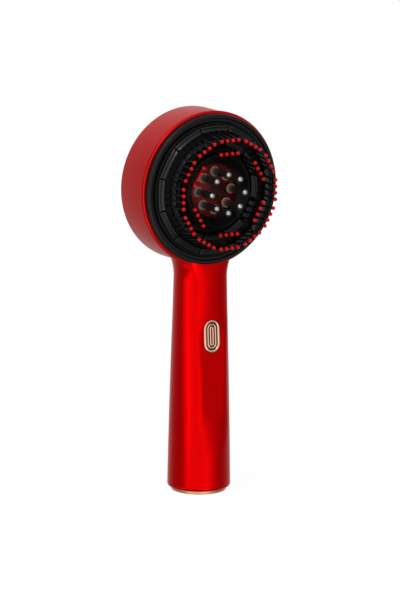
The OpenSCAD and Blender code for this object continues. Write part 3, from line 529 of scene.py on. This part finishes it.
# The grip is a round cone with a flat thumb facet, a dip at the button and a flare under the drum.
# The front's rule: (height, distance from the axis to the flat, softness of the crease beside it)
grip = {
    "front": [(18, 18.6, 2.0), (24, 17.6, 2.0), (30, 16.6, 3.0), (35, 15.9, 3.5), (39, 15.1, 3.0),
              (43, 14.5, 2.0), (47, 14.3, 1.0), (56, 14.05, 0.9), (65, 13.75, 0.7), (74, 13.3, 0.6),
              (82, 12.75, 0.8), (87.4, 12.35, 1.2), (92, 12.2, 2.5), (97, 12.6, 4.0), (102, 13.2, 5.0),
              (110, 13.5, 5.0), (116, 13.4, 5.0), (121, 12.8, 5.0), (127, 11.8, 4.0), (133, 11.6, 3.0)],
    "frontAngle": 78, "frontSteps": 104, "backSteps": 64,  # columns are closer together over the facet
    "levels": 96, "neckLevels": 30, "footLevels": 7, "boreLevels": 24,
    "neckEndR": 40.9, "neckRounds": 30, "backGap": 0.03,
    "capBack": 3.0, "capShares": (0.3, 0.6, 0.85),  # the skin's end, inside the drum's wall
    "footR": 13.95, "footTop": 4.3, "boreLow": 4.32,
    "grazing": 0.05,  # a flat is left out where its cosine is less than this
}


def gripRadius(z):
    low, high = body["shellZ"], body["flareZ"]
    if z > high:
        return body["gripTop"] + body["flareR"] - math.sqrt(body["flareR"] ** 2 - (z - high) ** 2)
    radius = body["gripLow"] - (body["gripLow"] - body["gripTop"]) * (z - low) / (high - low)
    radius += body["belly"] * max(0.0, 1 - ((z - body["bellyZ"]) / body["bellyReach"]) ** 2)
    lift = body["footRound"] - (z - low)
    if lift > 0:
        radius += math.sqrt(max(0.0, body["footRound"] ** 2 - lift ** 2)) - body["footRound"]
    return radius


# The facet's depth and softness at a height, on a smooth curve through the knots
def frontAt(z):
    knots = grip["front"]
    z = min(max(z, knots[0][0]), knots[-1][0])
    i = max(k for k in range(len(knots) - 1) if knots[k][0] <= z)
    first, second = knots[i], knots[i + 1]
    before, after = knots[max(i - 1, 0)], knots[min(i + 2, len(knots) - 1)]
    run = second[0] - first[0]
    t = (z - first[0]) / run
    out = []
    for k in (1, 2):
        rise = (second[k] - before[k]) / (second[0] - before[0]) * run
        fall = (after[k] - first[k]) / (after[0] - first[0]) * run
        out.append((2 * t ** 3 - 3 * t ** 2 + 1) * first[k] + (t ** 3 - 2 * t ** 2 + t) * rise
                   + (3 * t ** 2 - 2 * t ** 3) * second[k] + (t ** 3 - t ** 2) * fall)
    return out


# How far the skin lies from the axis, at an angle from the front
def gripReach(angle, z, inset):
    reach = gripRadius(z) - inset
    side = math.cos(angle)
    if side > grip["grazing"]:
        depth, soft = frontAt(z)
        flat = (depth - inset) / side
        meet = max(soft - abs(reach - flat), 0.0) / soft
        reach = min(reach, flat) - meet * meet * soft / 4
    elif side < -grip["grazing"] and z > body["flareZ"]:
        reach = min(reach, (body["drumBack"] - grip["backGap"] - inset) / -side)
    return reach


def gripPoint(angle, z, inset=0.0):
    reach = gripReach(angle, z, inset)
    return reach * math.sin(angle), -reach * math.cos(angle), z


def gripRing(angles, z, inset=0.0):
    return [upright(*gripPoint(a, z, inset)) for a in angles]


def gripAngles():
    front, back = grip["frontSteps"], grip["backSteps"]
    edge = math.radians(grip["frontAngle"])
    angles = [-edge + 2 * edge * i / front for i in range(front)]
    return angles + [edge + (tau - 2 * edge) * i / back for i in range(back)]


# The height of the middle of the drum's wall, on the side of the grip
def wallHeight(x):
    return body["headZ"] - math.sqrt(grip["neckEndR"] ** 2 - x * x)


# The height at which a column of the skin reaches the wall, closed in on step by step
def neckEnd(angle):
    z = wallHeight(0)
    for _ in range(grip["neckRounds"]):
        z = wallHeight(gripPoint(angle, z)[0])
    return z


# The rings go from inside the drum's wall down the skin, round the foot and up the bore
def makeGrip():
    angles = gripAngles()
    ends = [neckEnd(a) for a in angles]
    shoulder = [gripPoint(a, end) for a, end in zip(angles, ends)]
    back = grip["capBack"]
    rings = [[upright(0, back, wallHeight(0))]]
    for share in grip["capShares"]:
        rings.append([upright(x * share, back + (y - back) * share, wallHeight(x * share))
                      for x, y, _ in shoulder])
    neckStart = body["flareZ"] - 1
    for i in range(grip["neckLevels"], 0, -1):
        share = i / grip["neckLevels"]
        rings.append([upright(*gripPoint(a, neckStart + (end - neckStart) * share))
                      for a, end in zip(angles, ends)])
    foot = body["shellZ"] + body["footRound"]
    for i in range(grip["levels"] + 1):
        rings.append(gripRing(angles, neckStart + (foot - neckStart) * i / grip["levels"]))
    for i in range(1, grip["footLevels"] + 1):
        sink = 1 - math.sin(math.pi / 2 * i / grip["footLevels"])
        rings.append(gripRing(angles, body["shellZ"] + body["footRound"] * sink))
    for z in (body["shellZ"], grip["footTop"]):
        rings.append([upright(grip["footR"] * math.sin(a), -grip["footR"] * math.cos(a), z) for a in angles])
    for i in range(grip["boreLevels"] + 1):
        z = grip["boreLow"] + (body["neckZ"] - grip["boreLow"]) * i / grip["boreLevels"]
        rings.append(gripRing(angles, z, body["wall"]))
    rings.append([upright(0, 0, body["neckZ"])])
    return shapePiece("gripShell", rings, finishes["gripRed"])


gripShell = makeGrip()
print("grip made")

# The button: a ring and a ribbed cap on the facet, in two pockets that are cut into the grip
button = {
    "z": 87.4, "depth": 12.2585, "tilt": 3.8369, "width": 10.1, "length": 18.2,
    "ring": 1.5, "ringGap": 0.02, "ringLow": -1.0, "proud": 0.5, "ringEdge": 0.7,
    "capWidth": 6.9, "capLength": 15.0, "plateLow": -2.4, "plateTop": -0.3,
    "shoulder": 0.62, "ridge": 0.9, "groove": 0.68, "ridgeLow": -0.6, "capProud": 0.25, "ridgeEdge": 0.44,
    "pocketGap": 0.2, "recess": 1.1, "stemStep": 1.6, "stemDepth": 5.0, "cutTop": 3.0, "endPoints": 48,
}
facetTurn = (math.radians(90 - button["tilt"]), 0, 0)
facetSpot = (0, -button["depth"] * mm, button["z"] * mm)


def stadiumPrism(name, width, length, low, high, finish):
    ends = []
    for i in range(button["endPoints"]):
        a = tau * i / button["endPoints"]
        x, y = math.cos(a) * width / 2, math.sin(a) * width / 2
        ends.append((x, y + (length - width) / 2 * (1 if math.sin(a) >= 0 else -1)))
    onFacet = Matrix.Translation(facetSpot) @ Matrix.Rotation(facetTurn[0], 4, "X")
    rings = [[onFacet @ upright(0, 0, low)], [onFacet @ upright(x, y, low) for x, y in ends],
             [onFacet @ upright(x, y, high) for x, y in ends], [onFacet @ upright(0, 0, high)]]
    return shapePiece(name, rings, finish)


def cutPocket(name, wider, depth):
    cutAway(gripShell, stadiumPrism(name, button["width"] + wider, button["length"] + wider,
                                    -depth, button["cutTop"], finishes["gripRed"]))


cutPocket("ringPocket", button["pocketGap"], button["recess"])
cutPocket("stemPocket", -button["stemStep"], button["stemDepth"])
place(gripShell, "handle", "main_housing")
place(drumShell, "handle", "main_housing")
place(rimBand, "handle", "main_housing")


def trackTree():
    bench, given = newTree("trackRing", {
        "Float": ["Width", "Length", "Thickness", "Low", "High", "Edge"], "Material": ["Finish"]})
    width, length = given["Width"] - given["Thickness"], given["Length"] - given["Thickness"]
    # The radius stays just under half the width, so that the corners never meet
    path = roundedLine(bench, width, length, width * 0.4995, 12)
    outline = roundedLine(bench, given["Thickness"], given["High"] - given["Low"], given["Edge"], 4)
    loop = sweepAlong(bench, path, outline)
    lifted = putAt(bench, loop, spotAt(bench, 0.0, 0.0, (given["High"] + given["Low"]) * 0.5))
    return closeTree(bench, putAt(bench, lifted, facetSpot, facetTurn), given["Finish"])


trackRing = trackTree()


def makeTrack(name, inset, thickness, low, high, edge):
    return growPiece(name, trackRing, {
        "Width": (button["width"] - 2 * inset) * mm, "Length": (button["length"] - 2 * inset) * mm,
        "Thickness": thickness * mm, "Low": low * mm, "High": high * mm, "Edge": edge * mm,
        "Finish": finishes["roseGold"]})


buttonRing = makeTrack("buttonRing", button["ringGap"], button["ring"], button["ringLow"], button["proud"],
                       button["ringEdge"])
place(buttonRing, "handle", "button_bezel")
capPlate = stadiumPrism("capPlate", button["capWidth"], button["capLength"], button["plateLow"],
                        button["plateTop"], finishes["roseDark"])
place(capPlate, "button", "button_cap")
ridgeInset = (button["width"] - button["capWidth"]) / 2 + button["shoulder"]
for name in ("capRidgeOuter", "capRidgeInner"):
    capRidge = makeTrack(name, ridgeInset, button["ridge"], button["ridgeLow"], button["capProud"],
                         button["ridgeEdge"])
    place(capRidge, "button", "button_cap")
    ridgeInset += button["ridge"] + button["groove"]
print("button made")

# The ring round the brush: a rounded outer band, and a lower step inside it that stays dark
bezel = {
    "faceR": 41.0, "faceInR": 37.2, "outR": 39.7, "low": 3.0, "top": 12.3,
    "faceRound": 1.05, "faceDrop": 0.1,
    "stepR": 38.75, "stepRound": 0.5, "stepH": 10.9, "stepFoot": [(0.05, 0.2), (0.3, 0.0)], "sides": 192,
}


def bezelOutline():
    faceRound, stepRound = bezel["faceRound"], bezel["stepRound"]
    faceTop = bezel["top"] - bezel["faceDrop"]
    return ([(bezel["faceInR"], bezel["low"]), (bezel["outR"], bezel["low"]),
             (bezel["outR"], body["rimFront"]), (bezel["faceR"], body["rimFront"])]
            + roundCorner(bezel["faceR"] - faceRound, faceTop - faceRound, faceRound, 0, 82, 8)
            + roundCorner(bezel["stepR"] + stepRound, bezel["top"] - stepRound, stepRound, 92, 180, 6)
            + [(bezel["stepR"] - back, bezel["stepH"] + up) for back, up in bezel["stepFoot"]]
            + [(bezel["faceInR"], bezel["stepH"])])


frontRing = turned("frontRing", bezelOutline(), inHead, finishes["blackSatin"], bezel["sides"])
place(frontRing, "handle", "front_bezel")

# The pad: its land, and a lip round the hole with a small fillet of (out, up) points at its foot
pad = {"r": 36.9, "holeR": 20.5, "low": 9.6, "land": 12.6, "edge": 0.6, "lipW": 1.0, "holeLip": 15.7,
       "fillet": [(0.8, 0.0), (0.3, 0.2), (0.0, 0.7)], "sides": 192}


def padOutline():
    half = pad["lipW"] / 2
    return ([(pad["holeR"], pad["low"]), (pad["r"], pad["low"])]
            + roundCorner(pad["r"] - pad["edge"], pad["land"] - pad["edge"], pad["edge"], 0, 90, 6)
            + [(pad["holeR"] + pad["lipW"] + out, pad["land"] + up) for out, up in pad["fillet"]]
            + roundCorner(pad["holeR"] + half, pad["holeLip"] - half, half, 0, 180, 8))


brushPad = turned("brushPad", padOutline(), inHead, finishes["padSilicone"], pad["sides"])
place(brushPad, "brush_head", "brush_pad")

# The well: a lip, and a dished wall down to the clear cover
collar = {"r": 19.9, "top": 18.25, "lip": 0.8, "low": 8.4, "skirtR": 18.7, "footR": 14.6, "coverTop": 13.3,
          "footRise": 0.5, "browDrop": 0.2, "dish": 0.6, "steps": 10, "sides": 160}


def collarOutline():
    half = collar["lip"] / 2
    foot = (collar["footR"], collar["coverTop"] + collar["footRise"])
    brow = (collar["r"] - collar["lip"], collar["top"] - collar["browDrop"])
    wall = []
    for i in range(collar["steps"], -1, -1):
        t = i / collar["steps"]
        lift = collar["dish"] * (1 - math.cos(math.pi / 2 * t)) + (1 - collar["dish"]) * t
        wall.append((foot[0] + (brow[0] - foot[0]) * t, foot[1] + (brow[1] - foot[1]) * lift))
    return ([(collar["skirtR"], collar["low"]), (collar["r"], collar["low"])]
            + roundCorner(collar["r"] - half, collar["top"] - half, half, 0, 160, 7) + wall
            + [(foot[0], collar["coverTop"]), (collar["skirtR"], collar["coverTop"])])


wellCollar = turned("wellCollar", collarOutline(), inHead, finishes["wellBlack"], collar["sides"])
place(wellCollar, "cartridge_lid", "cartridge_collar")
print("front ring, pad and collar made")


# Copies one object round the head
def ringTree():
    bench, given = newTree("ringOfCopies", {
        "Object": ["Object"], "Int": ["Count"], "Float": ["Ring Radius"], "Material": ["Finish"]})
    one = bench.add("GeometryNodeObjectInfo", {"transform_space": "ORIGINAL"},
                    {"Object": given["Object"], "As Instance": False}, out="Geometry")
    seated = putAt(bench, one, spotAt(bench, given["Ring Radius"], 0.0, 0.0))
    return closeTree(bench, aroundHead(bench, seated, given["Count"]), given["Finish"])


ringOfCopies = ringTree()


# Makes a ring of copies of a piece, and takes the single one away
def ringOf(name, one, count, radius, sharp=crease):
    copies = growPiece(name, ringOfCopies, {
        "Object": one, "Count": count, "Ring Radius": radius * mm, "Finish": one.data.materials[0]}, sharp)
    bpy.data.objects.remove(one)
    return copies


# Two rings of mitred tiles carry the bristles. A tile's section is given as (radius, height above the
# pad), from its inner foot over the ridges; endSteps and endLow shape the fall at its ends
tiles = {
    "count": 12, "endRound": 0.75, "endSteps": (0.0, 0.06, 0.2, 0.42), "endLow": 0.3, "sunk": 0.2,
    "stations": 9, "bow": 0.28, "sharp": 75,
    "outer": {"gap": 0.62, "finish": "blackSilicone", "section": [
        (31.3, 0.0), (31.35, 0.5), (31.5, 1.0), (31.7, 1.42), (31.9, 1.75), (32.1, 1.94), (32.3, 2.0),
        (32.52, 1.93), (32.72, 1.74), (32.9, 1.45), (33.08, 1.15), (33.3, 0.95), (33.55, 0.92), (33.8, 1.05),
        (34.0, 1.2), (34.2, 1.28), (34.4, 1.24), (34.62, 1.08), (34.8, 0.8), (34.92, 0.45), (34.95, 0.0)]},
    "inner": {"gap": 0.5, "finish": "stemSilicone", "section": [
        (23.1, 0.0), (23.15, 0.5), (23.35, 0.85), (23.7, 1.12), (24.1, 1.35), (24.4, 1.55), (24.7, 1.8),
        (24.95, 1.97), (25.2, 2.0), (25.45, 1.9), (25.68, 1.62), (25.9, 1.3), (26.15, 1.2), (26.4, 1.32),
        (26.65, 1.45), (26.9, 1.42), (27.12, 1.15), (27.32, 0.6), (27.4, 0.0)]},
}


# One tile: its section drawn along its length, and rounded down at both ends
def makeTile(name, sizes):
    mitre = math.tan(math.pi / tiles["count"])
    low, endRound, section = tiles["endLow"], tiles["endRound"], sizes["section"]
    outline = section + [(section[-1][0], -tiles["sunk"]), (section[0][0], -tiles["sunk"])]
    nearEnd = [(-1.0, off, low + (1 - low) * math.sqrt(max(0.0, 1 - (1 - off / endRound) ** 2)))
               for off in (*tiles["endSteps"], endRound)]
    middle = [(2 * i / tiles["stations"] - 1, endRound, 1.0) for i in range(1, tiles["stations"])]
    farEnd = [(1.0, off, fall) for _, off, fall in reversed(nearEnd)]
    rings = []
    for side, off, fall in nearEnd + middle + farEnd:
        bulge = tiles["bow"] * (1 - 2 * side * side)
        rings.append([upright(r + bulge, side * (r * mitre - sizes["gap"] / 2 - off),
                              pad["land"] + (rise * fall if rise > 0 else rise)) for r, rise in outline])
    ends = [[sum(ring, Vector()) / len(ring)] for ring in (rings[0], rings[-1])]
    return shapePiece(name, [ends[0]] + rings + [ends[1]], finishes[sizes["finish"]])


for side in ("outer", "inner"):
    tileRing = ringOf(side + "Tiles", makeTile("oneTile", tiles[side]), tiles["count"], 0.0, tiles["sharp"])
    place(tileRing, "brush_head", side + "_bristles")

# Bristles stand in groups, each one a tapered stem in a small boot, with a red tip drawn to a point
brush = {
    "perGroup": 4, "pitch": 3.55, "stemRoot": 0.62, "stemTop": 0.46, "boot": 0.9, "bootTop": 3.2,
    "stemSides": 12, "stemLevels": 3, "stemInTip": 0.7, "bootClose": 0.95,
    "tipR": 1.1, "tipPoint": 0.35, "tipSlim": 0.55, "tipSides": 16, "tipRings": 12,
    "outer": {"groups": 12, "rootR": 31.7, "lean": 2.5, "tipH": 29.05},
    "inner": {"groups": 6, "rootR": 24.2, "lean": 2.3, "tipH": 28.45},
}


def bristleTree():
    bench, given = newTree("bristleRows", {
        "Int": ["Groups", "Per Group"], "Bool": ["Tips"], "Material": ["Finish"],
        "Float": ["Root Radius", "Pitch", "Land", "Lean", "Length", "Root Width", "Top Width", "Boot",
                  "Boot Top", "Tip Radius", "Point"]})
    stem = bench.add("GeometryNodeMeshCone", {"fill_type": "NGON"}, {
        "Vertices": brush["stemSides"], "Side Segments": brush["stemLevels"],
        "Radius Top": given["Top Width"], "Radius Bottom": given["Root Width"],
        "Depth": given["Length"] - given["Tip Radius"] * brush["stemInTip"]})
    boot = bench.add("GeometryNodeMeshCone", {"fill_type": "NGON"}, {
        "Vertices": brush["stemSides"], "Side Segments": 1, "Depth": given["Boot Top"],
        "Radius Top": given["Root Width"] * brush["bootClose"], "Radius Bottom": given["Boot"]})
    rod = bench.add("GeometryNodeJoinGeometry", None, {"Geometry": [stem, boot]})
    bead = bench.add("GeometryNodeMeshUVSphere", None, {
        "Segments": brush["tipSides"], "Rings": brush["tipRings"], "Radius": given["Tip Radius"]})
    across = bench.add("ShaderNodeSeparateXYZ", None, {0: bench.add("GeometryNodeInputPosition")}, out="X")
    along, height = across.also("Y"), across.also("Z")
    up = height / given["Tip Radius"]
    slim = fade(bench, up, 0.0, 1.0, 1.0, brush["tipSlim"])
    over = up.maths("MAXIMUM", up, 0.0)
    drawn = spotAt(bench, across * slim, along * slim, height * (over * given["Point"] + 1.0))
    flame = bench.add("GeometryNodeSetPosition", None, {"Geometry": bead, "Position": drawn})
    tip = putAt(bench, flame, spotAt(bench, 0.0, 0.0, given["Length"]))
    shown = bench.add("GeometryNodeSwitch", {"input_type": "GEOMETRY"},
                      {"Switch": given["Tips"], "False": rod, "True": tip})
    leaning = putAt(bench, shown, (0, 0, 0), turnBy(bench, 0.0, 0.0 - given["Lean"], 0.0))
    halfRow = given["Pitch"] * (given["Per Group"] - 1.0) * -0.5
    row = bench.add("GeometryNodeMeshLine", {"mode": "OFFSET"}, {
        "Count": given["Per Group"], "Offset": spotAt(bench, 0.0, given["Pitch"], 0.0),
        "Start Location": spotAt(bench, given["Root Radius"], halfRow, given["Land"])})
    group = bench.add("GeometryNodeInstanceOnPoints", None, {"Points": row, "Instance": leaning})
    return closeTree(bench, aroundHead(bench, group, given["Groups"]), given["Finish"])


bristleRows = bristleTree()


def makeBristles(name, sizes, tips):
    rise = sizes["tipH"] - pad["land"]
    return growPiece(name, bristleRows, {
        "Groups": sizes["groups"], "Per Group": brush["perGroup"], "Root Radius": sizes["rootR"] * mm,
        "Pitch": brush["pitch"] * mm, "Land": pad["land"] * mm,
        "Lean": math.atan(sizes["lean"] / rise), "Length": math.hypot(rise, sizes["lean"]) * mm,
        "Root Width": brush["stemRoot"] * mm, "Top Width": brush["stemTop"] * mm,
        "Boot": brush["boot"] * mm, "Boot Top": brush["bootTop"] * mm,
        "Tip Radius": brush["tipR"] * mm, "Point": brush["tipPoint"], "Tips": tips,
        "Finish": finishes["tipRed" if tips else "stemSilicone"]})


for side in ("outer", "inner"):
    stems = makeBristles(side + "Stems", brush[side], False)
    place(stems, "brush_head", side + "_bristles")
    tips = makeBristles(side + "Tips", brush[side], True)
    place(tips, "brush_head", side + "_bristle_tips")
print("brush made")

# Each nozzle is a tube with a root collar, a shaft bore, a spring bore over its shelf and a ball socket
nozzle = {
    "count": 8, "ringR": 10.43, "r": 1.9, "rootR": 2.7, "rootH": 1.0, "low": collar["coverTop"], "top": 27.9,
    "shaftBore": 0.9, "springBore": 1.35, "shelf": 18.0, "bore": 1.62, "socket": 25.0, "ballH": 27.4,
    "mouth": 1.44, "rootRound": 0.3, "topRound": 0.15, "fillet": [(0.12, 0.05), (0.0, 0.3)], "sides": 32,
}


def nozzleOutline():
    low, top, root = nozzle["low"], nozzle["top"], nozzle["low"] + nozzle["rootH"]
    rootRound, topRound = nozzle["rootRound"], nozzle["topRound"]
    return ([(nozzle["shaftBore"], low), (nozzle["rootR"], low)]
            + roundCorner(nozzle["rootR"] - rootRound, root - rootRound, rootRound, 0, 90, 3)
            + [(nozzle["r"] + out, root + up) for out, up in nozzle["fillet"]]
            + roundCorner(nozzle["r"] - topRound, top - topRound, topRound, 0, 90, 3)
            + [(nozzle["mouth"], top), (nozzle["bore"], nozzle["ballH"]), (nozzle["bore"], nozzle["socket"]),
               (nozzle["springBore"], nozzle["socket"]), (nozzle["springBore"], nozzle["shelf"]),
               (nozzle["shaftBore"], nozzle["shelf"])])


oneNozzle = turned("oneNozzle", nozzleOutline(), upright, finishes["smokyTube"], nozzle["sides"])
nozzleTubes = ringOf("nozzleTubes", oneNozzle, nozzle["count"], nozzle["ringR"])
place(nozzleTubes, "cartridge_lid", "nozzle_tubes")

ballShape = {"sides": 28, "step": 15, "sharp": 80}  # the step is in degrees


def makeBall(name, centre, radius):
    step = ballShape["step"]
    arc = [(radius * math.cos(math.radians(t)), radius * math.sin(math.radians(t)))
           for t in range(step - 90, 90, step)]
    return turned(name, [(0, -radius)] + arc + [(0, radius)], lambda x, y, h: centre + Vector((x, y, h)),
                  finishes["ballSteel"], ballShape["sides"], closed=False, sharp=ballShape["sharp"])


for k in range(nozzle["count"]):
    low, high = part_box("roller_ball_" + str(k + 1))
    ball = makeBall("rollerBall" + str(k + 1), (low + high) / 2, (high.x - low.x) / 2)
    place(ball, "ball_" + str(k + 1), "roller_ball_" + str(k + 1))
print("nozzles and balls made")

# The finishes of the solids that stay
kept = {
    "rear_cover": "drumRed", "rear_cover_gasket": "greyRubber", "head_chassis": "greyAbs",
    "chassis_screws": "steel", "light_window": "redLens", "led_board": "whiteBoard", "leds": "ledYellow",
    "motor_can": "steel", "motor_bracket": "steel", "bracket_screws": "steel", "motor_shaft": "steel",
    "eccentric_weight": "brass", "brush_carrier": "blackSatin", "cartridge_cover": "clearCover",
    "nozzle_springs": "steel", "oil_cup": "redCup", "cup_gasket": "greyRubber",
    "cartridge_oring": "greyRubber", "button_gasket": "greyRubber", "tact_switch": "greyAbs",
    "switch_plunger": "blackSatin", "main_board": "greenBoard", "board_components": "greyAbs",
    "battery_cell": "cellBlue", "battery_tabs": "steel", "battery_cradle": "greyAbs",
    "charge_board": "greenBoard", "charge_port": "steel", "battery_leads": "wireRed",
    "motor_leads": "wireCopper", "led_leads": "wireWhite", "base_ring": "roseRing",
    "base_plug": "blackSatin", "base_screws": "steel",
}
for name, finish in kept.items():
    for slot in nodes[name].material_slots:
        slot.material = finishes[finish]
print("solids finished:", len(kept))

# The camera's angles are in degrees and its lengths in millimetres
studio = {"azimuth": -32.516, "elevation": 11.763, "roll": 0.438, "distance": 2557.0, "lens": 283.13,
          "sensor": 36.0, "aimRight": -4.59, "aimUp": 106.727, "aimForward": -8.5}


def makeCamera():
    az, el, roll = (math.radians(studio[k]) for k in ("azimuth", "elevation", "roll"))
    back = Vector((math.sin(az) * math.cos(el), -math.cos(az) * math.cos(el), math.sin(el)))
    right = Vector((math.cos(az), math.sin(az), 0))
    up = back.cross(right)
    aim = right * studio["aimRight"] + Vector((0, studio["aimForward"], studio["aimUp"]))
    spot = (aim + back * studio["distance"]) * mm
    across = right * math.cos(roll) + up * math.sin(roll)
    upward = up * math.cos(roll) - right * math.sin(roll)
    lens = bpy.data.cameras.new("camera")
    lens.lens = studio["lens"]
    lens.sensor_width = studio["sensor"]
    lens.clip_end = 30.0
    camera = bpy.data.objects.new("camera", lens)
    turn = Matrix((across, upward, back)).transposed().to_4x4()
    camera.matrix_world = Matrix.Translation(spot) @ turn
    scene.collection.objects.link(camera)
    scene.camera = camera


# The room's light round the vertical: stops are (angle from the camera's side, brightness). Above and
# below, it fades to one brightness between two heights. The patch is a brighter spot beside the camera
room = {
    "stops": [(-180, 0.62), (-150, 0.52), (-128, 0.42), (-108, 0.34), (-94, 0.36), (-86, 0.5), (-78, 0.8),
              (-70, 0.95), (-57, 0.98), (-48, 1.0), (-40, 1.02), (-20, 0.98), (10, 0.95), (30, 1.02),
              (41, 1.05), (54, 0.68), (66, 0.48), (80, 0.37), (96, 0.33), (130, 0.4), (155, 0.5),
              (180, 0.62)],
    "above": (0.6, 0.35, 0.9), "below": (0.15, -0.6, -0.8),
    "patch": {"angle": 25.0, "reach": 13.0, "height": -0.46, "tall": 0.12, "glow": 3.0},
    "gain": 2.0,  # the ramp's colours are divided by this, so that they stay under 1
}


def makeRoom():
    world = bpy.data.worlds.new("room")
    scene.world = world
    world.use_nodes = True
    world.node_tree.nodes.clear()
    bench = Bench(world.node_tree)
    gain = room["gain"]
    az = math.radians(studio["azimuth"])
    way = bench.add("ShaderNodeTexCoord", out="Generated")
    towards, across, height = (
        bench.add("ShaderNodeVectorMath", {"operation": "DOT_PRODUCT"}, {0: way, 1: axis}, out="Value")
        for axis in ((math.sin(az), -math.cos(az), 0), (math.cos(az), math.sin(az), 0), (0, 0, 1)))
    turn = across.maths("ARCTAN2", across, towards) / tau + 0.5
    stops = [((angle + 180) / 360, bright / gain) for angle, bright in room["stops"]]
    glow = bench.add("ShaderNodeValToRGB", {"stops": stops, "spread": "B_SPLINE"}, {"Fac": turn})
    for bright, start, end in (room["above"], room["below"]):
        plain = (bright / gain, bright / gain, bright / gain, 1)
        glow = blendColours(bench, fade(bench, height, start, end), glow, plain)
    patch = room["patch"]
    beside = abs(turn - (patch["angle"] + 180) / 360)
    over = abs(height - patch["height"])
    near = (fade(bench, beside, patch["reach"] / 360, patch["reach"] / 720)
            * fade(bench, over, patch["tall"], patch["tall"] / 2))
    strength = near * (gain * patch["glow"]) + gain
    lit = bench.add("ShaderNodeBackground", None, {"Color": glow, "Strength": strength})
    white = bench.add("ShaderNodeBackground", None, {"Color": (1, 1, 1, 1), "Strength": 1.0})
    straight = bench.add("ShaderNodeLightPath", out="Is Camera Ray")
    seen = straight + straight.also("Is Transmission Ray")
    bench.add("ShaderNodeOutputWorld", None, {"Surface": mixShaders(bench, seen, lit, white)})


# The floor is seen nearly white, and keeps a soft shadow; half is in metres
ground = {"half": 4.0, "shades": (0.93, 0.95), "grain": 4.0, "glow": 1.04, "glowShare": 0.9}


def makeFloor():
    finish, bench = newFinish("paleFloor")
    seen = bench.add("ShaderNodeLightPath", out="Is Camera Ray")
    low, high = ((tone, tone, tone, 1) for tone in ground["shades"])
    tone = blendColours(bench, cloudy(bench, objectSpot(bench), ground["grain"]), low, high)
    card = bench.add("ShaderNodeBsdfDiffuse", None, {"Color": tone})
    closeFinish(bench, mixShaders(bench, seen * ground["glowShare"], card, glowing(bench, ground["glow"])))
    half = ground["half"]
    corners = [(-half, -half, 0), (half, -half, 0), (half, half, 0), (-half, half, 0)]
    floor = plainPiece("floor", corners, [(0, 1, 2, 3)], finish)
    floor.visible_glossy = False


# Cards at the left that only reflections see: each row is its two edges' angles and its height
cards = {
    "distance": 400.0,
    "greyFlag": {"glow": 0.36, "rows": [
        (-84, -112, 90), (-71, -112, 26), (-58, -112, -29), (-50, -112, -67), (-42, -112, -110)]},
    "brightStrip": {"glow": 1.9, "rows": [
        (-50, -56, 300), (-50, -56, 42), (-42, -50, 14), (-35, -44, -9), (-32, -41, -32), (-31, -38, -46)]},
}


def makeCard(name):
    finish, bench = newFinish(name)
    card = cards[name]
    closeFinish(bench, glowing(bench, card["glow"]))
    points = []
    for near, far, height in card["rows"]:
        for side in (near, (near + far) / 2, far):
            az = math.radians(studio["azimuth"] + side)
            x, y = math.sin(az) * cards["distance"], -math.cos(az) * cards["distance"]
            points.append(upright(x, y, height))
    faces = [(3 * i + k, 3 * i + k + 1, 3 * i + k + 4, 3 * i + k + 3)
             for i in range(len(card["rows"]) - 1) for k in range(2)]
    stand = plainPiece(name, points, faces, finish)
    stand.visible_camera = False
    stand.visible_diffuse = False
    stand.visible_shadow = False
    stand.visible_transmission = False


# The lamp's angle and lift are in degrees, and its lengths in metres
softbox = {"angle": -35, "lift": 58, "distance": 1.3, "aimZ": 0.12, "width": 0.7, "tall": 0.5,
           "power": 4.3}


def makeLamp(name):
    az = math.radians(studio["azimuth"] + softbox["angle"])
    lift = math.radians(softbox["lift"])
    away = Vector((math.sin(az) * math.cos(lift), -math.cos(az) * math.cos(lift), math.sin(lift)))
    lamp = bpy.data.lights.new(name, "AREA")
    lamp.shape = "RECTANGLE"
    lamp.size = softbox["width"]
    lamp.size_y = softbox["tall"]
    lamp.energy = softbox["power"]
    spot = bpy.data.objects.new(name, lamp)
    aim = Vector((0, 0, softbox["aimZ"]))
    turn = away.to_track_quat("Z", "Y").to_matrix().to_4x4()
    spot.matrix_world = Matrix.Translation(aim + away * softbox["distance"]) @ turn
    scene.collection.objects.link(spot)


makeCamera()
makeRoom()
makeFloor()
makeCard("greyFlag")
makeCard("brightStrip")
makeLamp("overheadSoftbox")
scene.view_settings.view_transform = "Standard"
print("studio made")
